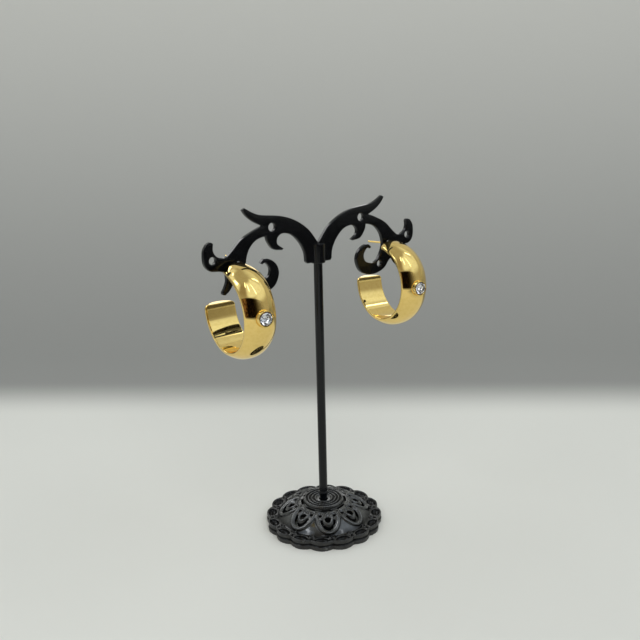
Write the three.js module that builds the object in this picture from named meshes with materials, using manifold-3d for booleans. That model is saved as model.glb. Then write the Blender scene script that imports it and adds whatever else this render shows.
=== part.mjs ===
// A pair of domed gold hoop earrings, each with one round crystal, hanging on a black metal stand.
// Millimetres and degrees. +Z is up, the stand's arms lie in the XZ plane, and -Y is the front.
// The origin is the middle of the boss under the stand's foot, where the stand rests.
import * as THREE from "three";
import { ConvexGeometry } from "three/addons/geometries/ConvexGeometry.js";
import { mergeVertices } from "three/addons/utils/BufferGeometryUtils.js";
import Module from "manifold-3d";

const wasm = await Module();
wasm.setup();

// Clearance between a piece and what carries it
const SEAT_GAP = 0.3;

// Foot: a scalloped rim round a pierced dome, with a ringed disc on top and a boss below
const FOOT_RADIUS = 25.9;
const SCALLOP_COUNT = 16;
const SCALLOP_DEPTH = 1.4;
const SCALLOP_TURN = 6.25;
const RIM_WIDTH = 5.4;
const RIM_HEIGHT = 3.95;
const RIM_GROOVE = 0.55;
const RIM_WALL = 4;
const DIMPLE_LENGTH = 5.8;
const DIMPLE_WIDTH = 3.6;
const DIMPLE_DEPTH = 0.9;
const FOOT_WALL = 1.3;
const DOME_RISE = 6;
const DISC_RADIUS = 8.9;
const DISC_STEP = 0.9;
const DISC_RINGS = 4;
const DISC_RING_HEIGHT = 0.35;
const BOSS_WALL = 1.7;
const BOSS_FLOOR = 2;
const PETAL_COUNT = 8;
const PETAL_TURN = -29.5;
const PETAL_WIDTH = 9.4;
const PETAL_FRAME = 1.6;
const HORSESHOE_FRAME = 1;
const BEAD_RADIUS = 0.6;
const SIDE_HOLE_RADIUS = 0.62;

// Rod, with a thinner neck that goes down into the foot and a small flange above it
const ROD_DIAMETER = 3.5;
const NECK_DIAMETER = 3.2;
const NECK_HEIGHT = 2.7;
const FLANGE_DIAMETER = 4.3;
const FLANGE_HEIGHT = 0.9;
const FLANGE_CHAMFER = 0.3;

// Scroll head: two flat scrolled arms cast with the collar that sits on the rod
const HEAD_BOTTOM = 118;
const COLLAR_WALL = 1.05;
const COLLAR_HEIGHT = 8.2;
const COLLAR_ROOF = 2;
const COLLAR_CHAMFER = 0.4;
const ARM_SPAN = 105;
const ARM_THICKNESS = 2;
const LEAF_HOLE = 3.2;
const TIP_HOLE = 2.8;
const SCROLL_HOLE = 2.6;
const EARWIRE_HOLE = 2;

// Hoop: a domed band of D section, open at the top behind the post
const HOOP_BORE = 30.3;
const BAND_WIDTH = 13.3;
const BAND_EDGE = 1;
const BAND_DOME = 2.55;
const BAND_FULLNESS = 2.3;
const BAND_CORNER = 0.35;
const FRONT_END = 91;
const BACK_END = -181;
const TAPER_LENGTH = 8;
const TAPER_SHARE = 0.82;
const END_LIP = 0.35;
const BACK_CORNER = 1.8;
const POST_DIAMETER = 0.8;
const POST_LENGTH = 14.5;
const POST_HEIGHT = 1.89;
const END_STANDOFF = 2.1;

// Setting and crystal on the front of the hoop
const CRYSTAL_DIAMETER = 4.8;
const CRYSTAL_CROWN = 0.7;
const CRYSTAL_GIRDLE = 0.2;
const CRYSTAL_PAVILION = 1.9;
const CUP_WALL = 0.35;
const CUP_FLARE = 0.3;
const CUP_STAND = 1.5;
const CUP_ANGLE = 2;

// How each earring hangs: its band's middle beside the hole, its turn about Z and roll about Y, and
// its post's place in the hole, turn and tilt
const HANGING = [
  {
    name: "left", side: -1, beside: 2.35, turn: -0.9, roll: -1.1,
    postBeside: 0.3, postTurn: -7.3, postTilt: 6,
  },
  {
    name: "right", side: 1, beside: -0.95, turn: -3.35, roll: 1.15,
    postBeside: -0.3, postTurn: 4.8, postTilt: -2,
  },
];

// Arm outline in hundredths of the span: out from the rod, up from the collar's lower end. Each
// stretch is one smooth curve, and the stretches meet in corners.
const ARM_START = [0, 7.8];
const ARM_STRETCHES = {
  upperEdge: [[1.1, 9.3], [4.8, 13.8], [10.5, 17.6], [17.1, 19.8], [26.7, 21.1], [32.2, 23.8]],
  leafTip: [[33.4, 23.2]],
  leafUnderside: [[31.8, 21], [29, 18.7], [25.3, 16.8]],
  outerArmTop: [[29.5, 15.2], [34.3, 12.7], [39, 8.4], [41.3, 7], [44.4, 7.7], [45.9, 9.9], [45.7, 12.5]],
  outerTip: [[46.7, 13.1], [48.2, 12.6]],
  outerEdge: [[49.7, 10.1], [49.7, 5.5], [47.6, 2.9], [43.8, 2.3], [41.3, 1.4]],
  tailOutside: [[41.2, -1.5], [42.1, -3.8], [43.1, -5.4]],
  tailTip: [[43, -6.3], [41.9, -6.6]],
  tailInside: [[40, -5.1], [38.1, -2.4]],
  scrollOutside: [
    [36.2, -3.4], [33.7, -6.3], [29.5, -8], [24.8, -8], [20.6, -5.9],
    [18.7, -1.5], [19.8, 2.1], [22.5, 4.2], [25, 4.6], [26.7, 3.2],
  ],
  scrollTip: [[25.9, 2.7]],
  scrollInside: [
    [24.4, 3], [22.7, 0.6], [23.4, -2.1], [26.5, -3.4], [29.5, -2.8],
    [31.8, 0.4], [32.8, 4], [31.4, 8.6], [28.2, 11.8], [23.8, 13],
  ],
  tendrilOutside: [[23.2, 10.7], [20.8, 7.7], [17, 7]],
  tendrilTip: [[16.3, 7.5], [17.3, 8.2]],
  lowerEdge: [[19, 9.7], [18.7, 11.9], [16.4, 13.2], [12.4, 12.2], [9, 9.1], [6.7, 5], [6.2, 1.2]],
  rootCorner: [[5.5, 0.4]],
  rootBottom: [[0, 0.4]],
};
const ARM_HOLES = [
  { share: [21.1, 16], diameter: LEAF_HOLE },
  { share: [46.4, 6.5], diameter: TIP_HOLE },
  { share: [31, -4.1], diameter: SCROLL_HOLE },
];
const EARWIRE_SEAT = [35.95, 4.1];

// Petal lines as shares: across of half the petal's width, along from the disc (0) to the rim (1)
const PETAL_LINES = {
  frame: [
    [0.4, 0.21], [0.57, 0.17], [0.8, 0.18], [0.94, 0.27],
    [1, 0.43], [0.96, 0.6], [0.7, 0.79], [0.32, 0.89],
  ],
  frameFoot: 0.915,
  horseshoe: [[0.4, 0.3], [0.42, 0.44], [0.3, 0.585]],
  horseshoeFoot: 0.655,
  crescentOutside: [[0.72, 0.49], [0.55, 0.71]],
  crescentOutsideFoot: 0.83,
  crescentInside: [[0.55, 0.475], [0.42, 0.64]],
  crescentInsideFoot: 0.725,
  eye: { along: 0.475, radius: 0.26 },
  sideHole: { across: 0.65, along: 0.3 },
  bead: { across: 0, along: 0.26 },
  slot: { across: 0.52, from: 0.035, to: 0.1 },
};

// Worked-out places
const footInner = FOOT_RADIUS - RIM_WIDTH;
const domeTop = RIM_HEIGHT + DOME_RISE;
const discTop = domeTop + DISC_STEP;
const neckBore = NECK_DIAMETER / 2 + SEAT_GAP;
const rodBore = ROD_DIAMETER / 2 + SEAT_GAP;
const collarRadius = rodBore + COLLAR_WALL;
const collarTop = HEAD_BOTTOM + COLLAR_HEIGHT;
const hundredth = ARM_SPAN / 100;
const hoopRadius = HOOP_BORE / 2;
const domeRadius = hoopRadius + BAND_EDGE + BAND_DOME;
const radians = THREE.MathUtils.degToRad;

// Solids

function indexedFaces(geometry) {
  const bare = new THREE.BufferGeometry();
  bare.setAttribute("position", geometry.getAttribute("position").clone());
  if (geometry.index) bare.setIndex(geometry.index.clone());
  const merged = mergeVertices(bare, 1e-4);
  const corners = merged.index.array;
  const faces = [];
  for (let i = 0; i < corners.length; i += 3) {
    const [a, b, c] = [corners[i], corners[i + 1], corners[i + 2]];
    if (a !== b && b !== c && c !== a) faces.push(a, b, c);
  }
  return { points: merged.getAttribute("position").array, faces };
}

function signedVolume(points, faces) {
  const a = new THREE.Vector3();
  const b = new THREE.Vector3();
  const c = new THREE.Vector3();
  let sum = 0;
  for (let i = 0; i < faces.length; i += 3) {
    a.fromArray(points, 3 * faces[i]);
    b.fromArray(points, 3 * faces[i + 1]);
    c.fromArray(points, 3 * faces[i + 2]);
    sum += a.dot(b.cross(c)) / 6;
  }
  return sum;
}

function solid(geometry) {
  const { points, faces } = indexedFaces(geometry);
  if (signedVolume(points, faces) < 0) faces.reverse();
  return new wasm.Manifold(new wasm.Mesh({
    numProp: 3,
    vertProperties: Float32Array.from(points),
    triVerts: Uint32Array.from(faces),
  }));
}

function joined(solids) {
  return solids.reduce((whole, piece) => whole.add(piece));
}

function geometryOf(body) {
  const mesh = body.getMesh();
  const geometry = new THREE.BufferGeometry();
  geometry.setAttribute("position", new THREE.BufferAttribute(mesh.vertProperties, 3));
  geometry.setIndex(new THREE.BufferAttribute(mesh.triVerts, 1));
  geometry.computeVertexNormals();
  return geometry;
}

// A closed body through rings of points, with its two ends closed by fans
function loft(rings) {
  const count = rings[0].length;
  const middles = [rings[0], rings[rings.length - 1]].map((ring) =>
    ring.reduce((sum, point) => sum.add(point), new THREE.Vector3()).divideScalar(count));
  const positions = [...rings.flat(), ...middles].flatMap((point) => point.toArray());
  const faces = [];
  for (let row = 0; row + 1 < rings.length; row += 1) {
    for (let i = 0; i < count; i += 1) {
      const a = row * count + i;
      const b = row * count + (i + 1) % count;
      faces.push(a, b, b + count, a, b + count, a + count);
    }
  }
  const last = (rings.length - 1) * count;
  for (let i = 0; i < count; i += 1) {
    const next = (i + 1) % count;
    faces.push(rings.length * count, next, i);
    faces.push(rings.length * count + 1, last + i, last + next);
  }
  const geometry = new THREE.BufferGeometry();
  geometry.setAttribute("position", new THREE.Float32BufferAttribute(positions, 3));
  geometry.setIndex(faces);
  return geometry;
}

// A turned body about Z; the profile's points are [radius, height] and start and end on the axis
function turned(profile, segments) {
  const points = profile.map(([radius, height]) => new THREE.Vector2(radius, height));
  return new THREE.LatheGeometry(points, segments).rotateX(Math.PI / 2);
}

function post(from, to, diameter, sides) {
  const length = from.distanceTo(to);
  const rod = new THREE.CylinderGeometry(diameter / 2, diameter / 2, length, sides);
  const turn = new THREE.Quaternion().setFromUnitVectors(
    new THREE.Vector3(0, 1, 0), to.clone().sub(from).normalize());
  return rod.applyQuaternion(turn).translate(...from.clone().add(to).divideScalar(2).toArray());
}

// Foot

function domeHeight(radius) {
  const share = THREE.MathUtils.clamp((radius - DISC_RADIUS) / (footInner - DISC_RADIUS), 0, 1);
  return RIM_HEIGHT + DOME_RISE * (1 - share * share);
}

// A point of the dome by the petal's own shares, on the petal that points along -Y
function petalPlan(across, along) {
  const radius = THREE.MathUtils.lerp(DISC_RADIUS, footInner, along);
  return new THREE.Vector2(across * PETAL_WIDTH / 2, -radius);
}

function onDome(plan) {
  return new THREE.Vector3(plan.x, plan.y, domeHeight(plan.length()));
}

function domeNormal(plan) {
  const radius = plan.length();
  const step = 0.01;
  const slope = (domeHeight(radius + step) - domeHeight(radius - step)) / (2 * step);
  return new THREE.Vector3(-slope * plan.x / radius, -slope * plan.y / radius, 1).normalize();
}

function mirroredLine(half, foot) {
  const left = half.map(([across, along]) => petalPlan(-across, along));
  const right = half.map(([across, along]) => petalPlan(across, along)).reverse();
  return [...left, petalPlan(0, foot), ...right];
}

// A round strand that lies along a line on the dome
function reliefStrand(line, diameter, steps, sides) {
  const path = new THREE.SplineCurve(line);
  const rings = [];
  for (let i = 0; i <= steps; i += 1) {
    const plan = path.getPointAt(i / steps);
    const ahead = onDome(path.getPointAt(Math.min(i / steps + 0.01, 1)));
    const behind = onDome(path.getPointAt(Math.max(i / steps - 0.01, 0)));
    const normal = domeNormal(plan);
    const sideways = ahead.sub(behind).normalize().cross(normal).normalize();
    rings.push(Array.from({ length: sides }, (_, k) => {
      const angle = 2 * Math.PI * k / sides;
      return onDome(plan)
        .addScaledVector(normal, Math.cos(angle) * diameter / 2)
        .addScaledVector(sideways, Math.sin(angle) * diameter / 2);
    }));
  }
  return loft(rings);
}

function cutThrough(outline, holeSegments) {
  return new THREE.ExtrudeGeometry(outline, {
    depth: discTop, bevelEnabled: false, curveSegments: holeSegments,
  });
}

function roundHole(plan, radius, segments) {
  return cutThrough(new THREE.Shape().absarc(plan.x, plan.y, radius, 0, 2 * Math.PI, false), segments);
}

function crescentHole() {
  const outside = mirroredLine(PETAL_LINES.crescentOutside, PETAL_LINES.crescentOutsideFoot);
  const inside = mirroredLine(PETAL_LINES.crescentInside, PETAL_LINES.crescentInsideFoot).reverse();
  const outline = [
    ...new THREE.SplineCurve(outside).getPoints(8),
    ...new THREE.SplineCurve(inside).getPoints(6),
  ];
  return cutThrough(new THREE.Shape(outline), 1);
}

function discSlot() {
  const { across, from, to } = PETAL_LINES.slot;
  const inner = THREE.MathUtils.lerp(DISC_RADIUS, footInner, from);
  const outer = THREE.MathUtils.lerp(DISC_RADIUS, footInner, to);
  const spread = Math.asin(across * PETAL_WIDTH / 2 / outer);
  const middle = -Math.PI / 2;
  const outline = new THREE.Shape()
    .absarc(0, 0, outer, middle - spread, middle + spread, false)
    .absarc(0, 0, inner, middle + spread, middle - spread, true);
  return cutThrough(outline, 2);
}

function petalCuts() {
  const { eye, sideHole } = PETAL_LINES;
  return [
    crescentHole(),
    roundHole(petalPlan(0, eye.along), eye.radius * PETAL_WIDTH / 2, 4),
    roundHole(petalPlan(-sideHole.across, sideHole.along), SIDE_HOLE_RADIUS, 3),
    roundHole(petalPlan(sideHole.across, sideHole.along), SIDE_HOLE_RADIUS, 3),
    discSlot(),
  ];
}

function petalRelief() {
  const { frame, frameFoot, horseshoe, horseshoeFoot, bead } = PETAL_LINES;
  const beadPlace = onDome(petalPlan(bead.across, bead.along));
  return [
    reliefStrand(mirroredLine(frame, frameFoot), PETAL_FRAME, 14, 4),
    reliefStrand(mirroredLine(horseshoe, horseshoeFoot), HORSESHOE_FRAME, 7, 4),
    new THREE.SphereGeometry(BEAD_RADIUS, 5, 4).translate(...beadPlace.toArray()),
  ];
}

function aroundFoot(geometry, index) {
  return geometry.clone().rotateZ(radians(PETAL_TURN + index * 360 / PETAL_COUNT));
}

// The scalloped rim, with a groove round its side
function rimSolid() {
  const perScallop = 4;
  const count = SCALLOP_COUNT * perScallop;
  const rows = [
    { height: 0, inset: 0.2 },
    { height: 0.48 * RIM_HEIGHT, inset: 0 },
    { height: 0.54 * RIM_HEIGHT, inset: RIM_GROOVE },
    { height: 0.66 * RIM_HEIGHT, inset: RIM_GROOVE },
    { height: 0.72 * RIM_HEIGHT, inset: 0.1 },
    { height: RIM_HEIGHT, inset: 0.4 },
  ];
  const rings = rows.map(({ height, inset }) => Array.from({ length: count }, (_, i) => {
    const share = i / perScallop;
    const angle = radians(SCALLOP_TURN) + (share + 0.5) * 2 * Math.PI / SCALLOP_COUNT;
    const bulge = Math.abs(Math.sin(Math.PI * share));
    const radius = FOOT_RADIUS - inset - SCALLOP_DEPTH * (1 - bulge);
    return new THREE.Vector3(radius * Math.sin(angle), -radius * Math.cos(angle), height);
  }));
  return solid(loft(rings));
}

function domeSolid() {
  const steps = 5;
  const profile = [[0, RIM_HEIGHT / 2], [footInner, RIM_HEIGHT / 2]];
  for (let i = 0; i <= steps; i += 1) {
    const radius = THREE.MathUtils.lerp(footInner, DISC_RADIUS, i / steps);
    profile.push([radius, domeHeight(radius)]);
  }
  profile.push([DISC_RADIUS, discTop]);
  const boreEdge = neckBore + BOSS_WALL / 2;
  const pitch = (DISC_RADIUS - boreEdge) / DISC_RINGS;
  for (let ring = 0; ring < DISC_RINGS; ring += 1) {
    const outer = DISC_RADIUS - ring * pitch;
    profile.push([outer - 0.3 * pitch, discTop + DISC_RING_HEIGHT]);
    profile.push([outer - 0.8 * pitch, discTop]);
  }
  profile.push([0, discTop]);
  return solid(turned(profile, 32));
}

function hollowSolid() {
  const steps = 4;
  const hollowRadius = FOOT_RADIUS - RIM_WALL;
  const profile = [[0, -1], [hollowRadius, -1], [hollowRadius, RIM_HEIGHT - FOOT_WALL - 1]];
  for (let i = 0; i <= steps; i += 1) {
    const radius = THREE.MathUtils.lerp(footInner - FOOT_WALL, DISC_RADIUS - FOOT_WALL, i / steps);
    profile.push([radius, domeHeight(radius + FOOT_WALL) - FOOT_WALL]);
  }
  profile.push([0, domeTop - FOOT_WALL]);
  return solid(turned(profile, 24));
}

function rimDimples() {
  const middle = footInner + RIM_WIDTH / 2 - 0.1;
  return Array.from({ length: SCALLOP_COUNT }, (_, i) => {
    const bowl = new THREE.SphereGeometry(1, 6, 4).rotateX(Math.PI / 2);
    bowl.scale(DIMPLE_LENGTH / 2, DIMPLE_WIDTH / 2, DIMPLE_DEPTH);
    bowl.translate(0, -middle, RIM_HEIGHT + 0.1);
    return solid(bowl.rotateZ(radians(SCALLOP_TURN) + i * 2 * Math.PI / SCALLOP_COUNT));
  });
}

function footSolid() {
  const bossRadius = neckBore + BOSS_WALL;
  const boss = turned([[0, 0], [bossRadius, 0], [bossRadius, domeTop], [0, domeTop]], 24);
  const boreTop = discTop + 1;
  const bore = turned([[0, BOSS_FLOOR], [neckBore, BOSS_FLOOR], [neckBore, boreTop], [0, boreTop]], 24);
  const petals = Array.from({ length: PETAL_COUNT }, (_, i) => i);
  const cuts = petals.flatMap((i) => petalCuts().map((cut) => solid(aroundFoot(cut, i))));
  const relief = petals.flatMap((i) => petalRelief().map((strand) => solid(aroundFoot(strand, i))));
  return rimSolid()
    .subtract(joined(rimDimples()))
    .add(domeSolid())
    .subtract(hollowSolid())
    .subtract(joined(cuts))
    .add(joined(relief))
    .add(solid(boss))
    .subtract(solid(bore));
}

// Rod

function rodGeometry() {
  const flangeBottom = discTop + NECK_HEIGHT;
  const rodTop = collarTop - COLLAR_ROOF - SEAT_GAP;
  const profile = [
    [0, BOSS_FLOOR + SEAT_GAP],
    [NECK_DIAMETER / 2, BOSS_FLOOR + SEAT_GAP],
    [NECK_DIAMETER / 2, flangeBottom],
    [FLANGE_DIAMETER / 2, flangeBottom],
    [FLANGE_DIAMETER / 2, flangeBottom + FLANGE_HEIGHT],
    [ROD_DIAMETER / 2, flangeBottom + FLANGE_HEIGHT + FLANGE_CHAMFER],
    [ROD_DIAMETER / 2, rodTop],
    [0, rodTop],
  ];
  return geometryOf(solid(turned(profile, 20)));
}

// Scroll head

function armPoint([out, up]) {
  return new THREE.Vector2(out * hundredth, up * hundredth);
}

function armHole({ share, diameter }) {
  const { x, y } = armPoint(share);
  const drill = new THREE.CylinderGeometry(diameter / 2, diameter / 2, 2 * ARM_THICKNESS, 14);
  return drill.translate(x, 0, HEAD_BOTTOM + y);
}

function armGeometry() {
  const outline = new THREE.Shape();
  const start = armPoint(ARM_START);
  outline.moveTo(start.x, start.y);
  for (const stretch of Object.values(ARM_STRETCHES)) {
    const points = stretch.map(armPoint);
    if (points.length === 1) outline.lineTo(points[0].x, points[0].y);
    else outline.splineThru(points);
  }
  const plate = new THREE.ExtrudeGeometry(outline, {
    depth: ARM_THICKNESS, bevelEnabled: false, curveSegments: 2,
  });
  return plate.translate(0, 0, -ARM_THICKNESS / 2).rotateX(Math.PI / 2).translate(0, 0, HEAD_BOTTOM);
}

function headSolid() {
  const collar = turned([
    [0, HEAD_BOTTOM],
    [collarRadius - COLLAR_CHAMFER, HEAD_BOTTOM],
    [collarRadius, HEAD_BOTTOM + COLLAR_CHAMFER],
    [collarRadius, collarTop - COLLAR_CHAMFER],
    [collarRadius - COLLAR_CHAMFER, collarTop],
    [0, collarTop],
  ], 24);
  const boreTop = collarTop - COLLAR_ROOF;
  const boreBottom = HEAD_BOTTOM - 1;
  const bore = turned([[0, boreBottom], [rodBore, boreBottom], [rodBore, boreTop], [0, boreTop]], 20);
  const drills = [...ARM_HOLES, { share: EARWIRE_SEAT, diameter: EARWIRE_HOLE }].map(armHole);
  return solid(armGeometry())
    .add(solid(armGeometry().scale(-1, 1, 1)))
    .subtract(joined(drills.map((drill) => solid(drill.clone()))))
    .subtract(joined(drills.map((drill) => solid(drill.scale(-1, 1, 1)))))
    .add(solid(collar))
    .subtract(solid(bore));
}

// Earrings, in their own frame: the hoop's middle is the origin and its axis lies along X

function bandSection(width, inset) {
  const half = width / 2 - inset;
  const inner = hoopRadius + inset;
  const edge = hoopRadius + BAND_EDGE;
  const outline = [
    [-half + BAND_CORNER, inner],
    [half - BAND_CORNER, inner],
    [half, inner + BAND_CORNER],
  ];
  const domeSteps = 8;
  for (let i = 0; i <= domeSteps; i += 1) {
    const share = 1 - 2 * i / domeSteps;
    const rise = 1 - Math.abs(share) ** BAND_FULLNESS;
    outline.push([share * half, edge + (BAND_DOME - inset) * rise]);
  }
  outline.push([-half, inner + BAND_CORNER]);
  return outline;
}

function bandGeometry() {
  const arcRadius = hoopRadius + BAND_EDGE;
  const arcLength = radians(FRONT_END - BACK_END) * arcRadius;
  const plainRows = 40;
  const plain = Array.from({ length: plainRows + 1 }, (_, i) =>
    THREE.MathUtils.lerp(TAPER_LENGTH, arcLength - BACK_CORNER, i / plainRows));
  const stations = [
    0,
    END_LIP,
    ...[0.13, 0.27, 0.47, 0.7].map((share) => share * TAPER_LENGTH),
    ...plain,
    ...[0.66, 0.38, 0.19].map((share) => arcLength - share * BACK_CORNER),
    arcLength,
  ];
  const rings = stations.map((fromFront) => {
    const fromBack = arcLength - fromFront;
    const grown = Math.sin(Math.min(fromFront / TAPER_LENGTH, 1) * Math.PI / 2);
    const intoCorner = BACK_CORNER - Math.min(fromBack, BACK_CORNER);
    const corner = BACK_CORNER - Math.sqrt(BACK_CORNER ** 2 - intoCorner ** 2);
    const width = BAND_WIDTH * THREE.MathUtils.lerp(TAPER_SHARE, 1, grown) - 2 * corner;
    const inset = fromFront === 0 || fromBack === 0 ? END_LIP : 0;
    const angle = radians(FRONT_END) - fromFront / arcRadius;
    return bandSection(width, inset).map(([across, radius]) =>
      new THREE.Vector3(across, -radius * Math.cos(angle), radius * Math.sin(angle)));
  });
  return loft(rings);
}

// Turns what stands along +Z on the origin so that it stands on the hoop's front
function ontoFront(geometry) {
  return geometry
    .translate(0, 0, domeRadius)
    .rotateX(Math.PI / 2 - radians(CUP_ANGLE));
}

function cupSolids() {
  const pocket = CRYSTAL_DIAMETER / 2 + SEAT_GAP;
  const rim = pocket + CUP_WALL;
  const depth = CRYSTAL_PAVILION + SEAT_GAP;
  const outside = turned([
    [0, -BAND_DOME],
    [rim + CUP_FLARE, -BAND_DOME],
    [rim + CUP_FLARE, 0.2],
    [rim, CUP_STAND - 0.2],
    [rim - CUP_WALL / 2, CUP_STAND],
    [0, CUP_STAND],
  ], 20);
  const girdle = CUP_STAND - CRYSTAL_GIRDLE - SEAT_GAP;
  const inside = turned([
    [0, girdle - depth],
    [SEAT_GAP, girdle - depth],
    [pocket, girdle],
    [pocket, CUP_STAND + 1],
    [0, CUP_STAND + 1],
  ], 20);
  return { outside: solid(ontoFront(outside)), inside: solid(ontoFront(inside)) };
}

function crystalGeometry() {
  const radius = CRYSTAL_DIAMETER / 2;
  const lowGirdle = CUP_STAND - CRYSTAL_GIRDLE;
  const points = [new THREE.Vector3(0, 0, lowGirdle - CRYSTAL_PAVILION)];
  const facets = 16;
  for (let i = 0; i < facets; i += 1) {
    const angle = 2 * Math.PI * i / facets;
    const edge = new THREE.Vector3(radius * Math.cos(angle), radius * Math.sin(angle), 0);
    points.push(edge.clone().setZ(lowGirdle), edge.clone().setZ(lowGirdle + CRYSTAL_GIRDLE));
    if (i % 2) continue;
    const table = edge.clone().multiplyScalar(0.58);
    points.push(table.setZ(lowGirdle + CRYSTAL_GIRDLE + CRYSTAL_CROWN));
  }
  return geometryOf(solid(ontoFront(new ConvexGeometry(points))));
}

function earwireHole(side) {
  const { x, y } = armPoint(EARWIRE_SEAT);
  return new THREE.Vector3(side * x, 0, HEAD_BOTTOM + y);
}

function hoopPlace({ side, beside, turn, roll }) {
  const hole = earwireHole(side);
  const wireDrop = (EARWIRE_HOLE - POST_DIAMETER) / 2 - SEAT_GAP;
  const place = new THREE.Object3D();
  place.position.set(
    hole.x + side * beside,
    -ARM_THICKNESS / 2 - END_STANDOFF + hoopRadius * Math.cos(radians(FRONT_END)),
    hole.z - wireDrop - hoopRadius - POST_HEIGHT);
  place.rotation.set(0, radians(roll), radians(turn), "ZYX");
  place.updateMatrix();
  return place;
}

function hoopSolid(hanging) {
  const { side, postBeside, postTurn, postTilt } = hanging;
  const hole = earwireHole(side);
  const wireDrop = (EARWIRE_HOLE - POST_DIAMETER) / 2 - SEAT_GAP;
  const through = new THREE.Vector3(hole.x + side * postBeside, 0, hole.z - wireDrop);
  const direction = new THREE.Vector3(0, 1, 0)
    .applyAxisAngle(new THREE.Vector3(1, 0, 0), radians(postTilt))
    .applyAxisAngle(new THREE.Vector3(0, 0, 1), radians(postTurn));
  const behind = ARM_THICKNESS / 2 + END_STANDOFF + 1;
  const root = through.clone().addScaledVector(direction, -behind);
  const tip = root.clone().addScaledVector(direction, POST_LENGTH + 1);
  const toOwnFrame = hoopPlace(hanging).matrix.clone().invert();
  const wire = post(root.applyMatrix4(toOwnFrame), tip.applyMatrix4(toOwnFrame), POST_DIAMETER, 8);
  const cup = cupSolids();
  return solid(bandGeometry()).add(cup.outside).subtract(cup.inside).add(solid(wire));
}

// The scene

const finishes = {
  blackPaint: { color: 0x17191b, roughness: 0.35, metalness: 0.3 },
  gold: { color: 0xd9b65c, roughness: 0.12, metalness: 1 },
  crystal: { color: 0xf4f7fa, roughness: 0.02, metalness: 0 },
};

function piece(name, geometry, finish) {
  const mesh = new THREE.Mesh(geometry, new THREE.MeshStandardMaterial(finishes[finish]));
  mesh.name = name;
  return mesh;
}

const object = new THREE.Group();
object.add(piece("stand_foot", geometryOf(footSolid()), "blackPaint"));
object.add(piece("stand_rod", rodGeometry(), "blackPaint"));
object.add(piece("scroll_head", geometryOf(headSolid()), "blackPaint"));
for (const hanging of HANGING) {
  const earring = new THREE.Group();
  const place = hoopPlace(hanging);
  earring.position.copy(place.position);
  earring.rotation.copy(place.rotation);
  earring.add(piece(`hoop_${hanging.name}`, geometryOf(hoopSolid(hanging)), "gold"));
  earring.add(piece(`crystal_${hanging.name}`, crystalGeometry(), "crystal"));
  object.add(earring);
}

export default object;
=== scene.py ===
"""A pair of domed gold hoop earrings, each with a round crystal, on a black scrolled metal stand."""

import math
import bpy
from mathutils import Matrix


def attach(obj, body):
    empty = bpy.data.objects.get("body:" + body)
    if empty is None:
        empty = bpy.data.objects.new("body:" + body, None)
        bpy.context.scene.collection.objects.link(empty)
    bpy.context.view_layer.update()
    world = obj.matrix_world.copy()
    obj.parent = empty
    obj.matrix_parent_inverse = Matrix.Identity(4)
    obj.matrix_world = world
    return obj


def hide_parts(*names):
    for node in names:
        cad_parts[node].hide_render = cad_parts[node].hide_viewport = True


bl_info = {
    "name": "Hoop earrings on a display stand",
    "version": (1, 0, 0),
    "blender": (4, 5, 0),
    "location": "3D View > Sidebar > Earrings",
    "description": "Models two gold hoops with crystals and the black scrolled stand that they hang on",
    "category": "Add Mesh",
}

import bmesh
import bpy
from bpy.props import FloatProperty, FloatVectorProperty, IntProperty, PointerProperty
from mathutils import Matrix, Vector

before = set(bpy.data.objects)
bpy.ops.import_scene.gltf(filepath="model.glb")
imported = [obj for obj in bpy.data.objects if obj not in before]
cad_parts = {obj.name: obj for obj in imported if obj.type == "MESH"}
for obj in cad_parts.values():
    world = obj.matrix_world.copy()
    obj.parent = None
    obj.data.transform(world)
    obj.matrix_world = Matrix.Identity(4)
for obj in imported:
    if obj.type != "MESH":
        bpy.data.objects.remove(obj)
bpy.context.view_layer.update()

MM = 0.001
WELD = 0.002 * MM
FULL_TURN = 2 * math.pi


def length(name, millimetres, text):
    """A length that a user may change, with its default given in millimetres."""
    value = millimetres * MM
    return FloatProperty(name=name, description=text, default=value, unit="LENGTH", precision=5)


def angle(name, degrees, text):
    """An angle that a user may change, with its default given in degrees."""
    return FloatProperty(name=name, description=text, default=math.radians(degrees), subtype="ANGLE")


def colour(name, red, green, blue, text):
    """A linear colour that a user may change."""
    return FloatVectorProperty(
        name=name, description=text, default=(red, green, blue), subtype="COLOR", min=0.0, max=1.0
    )


def share(name, number, text):
    """A plain number that a user may change."""
    return FloatProperty(name=name, description=text, default=number)


def count(name, number, text):
    """A number of copies that a user may change."""
    return IntProperty(name=name, description=text, default=number, min=3)


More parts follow.
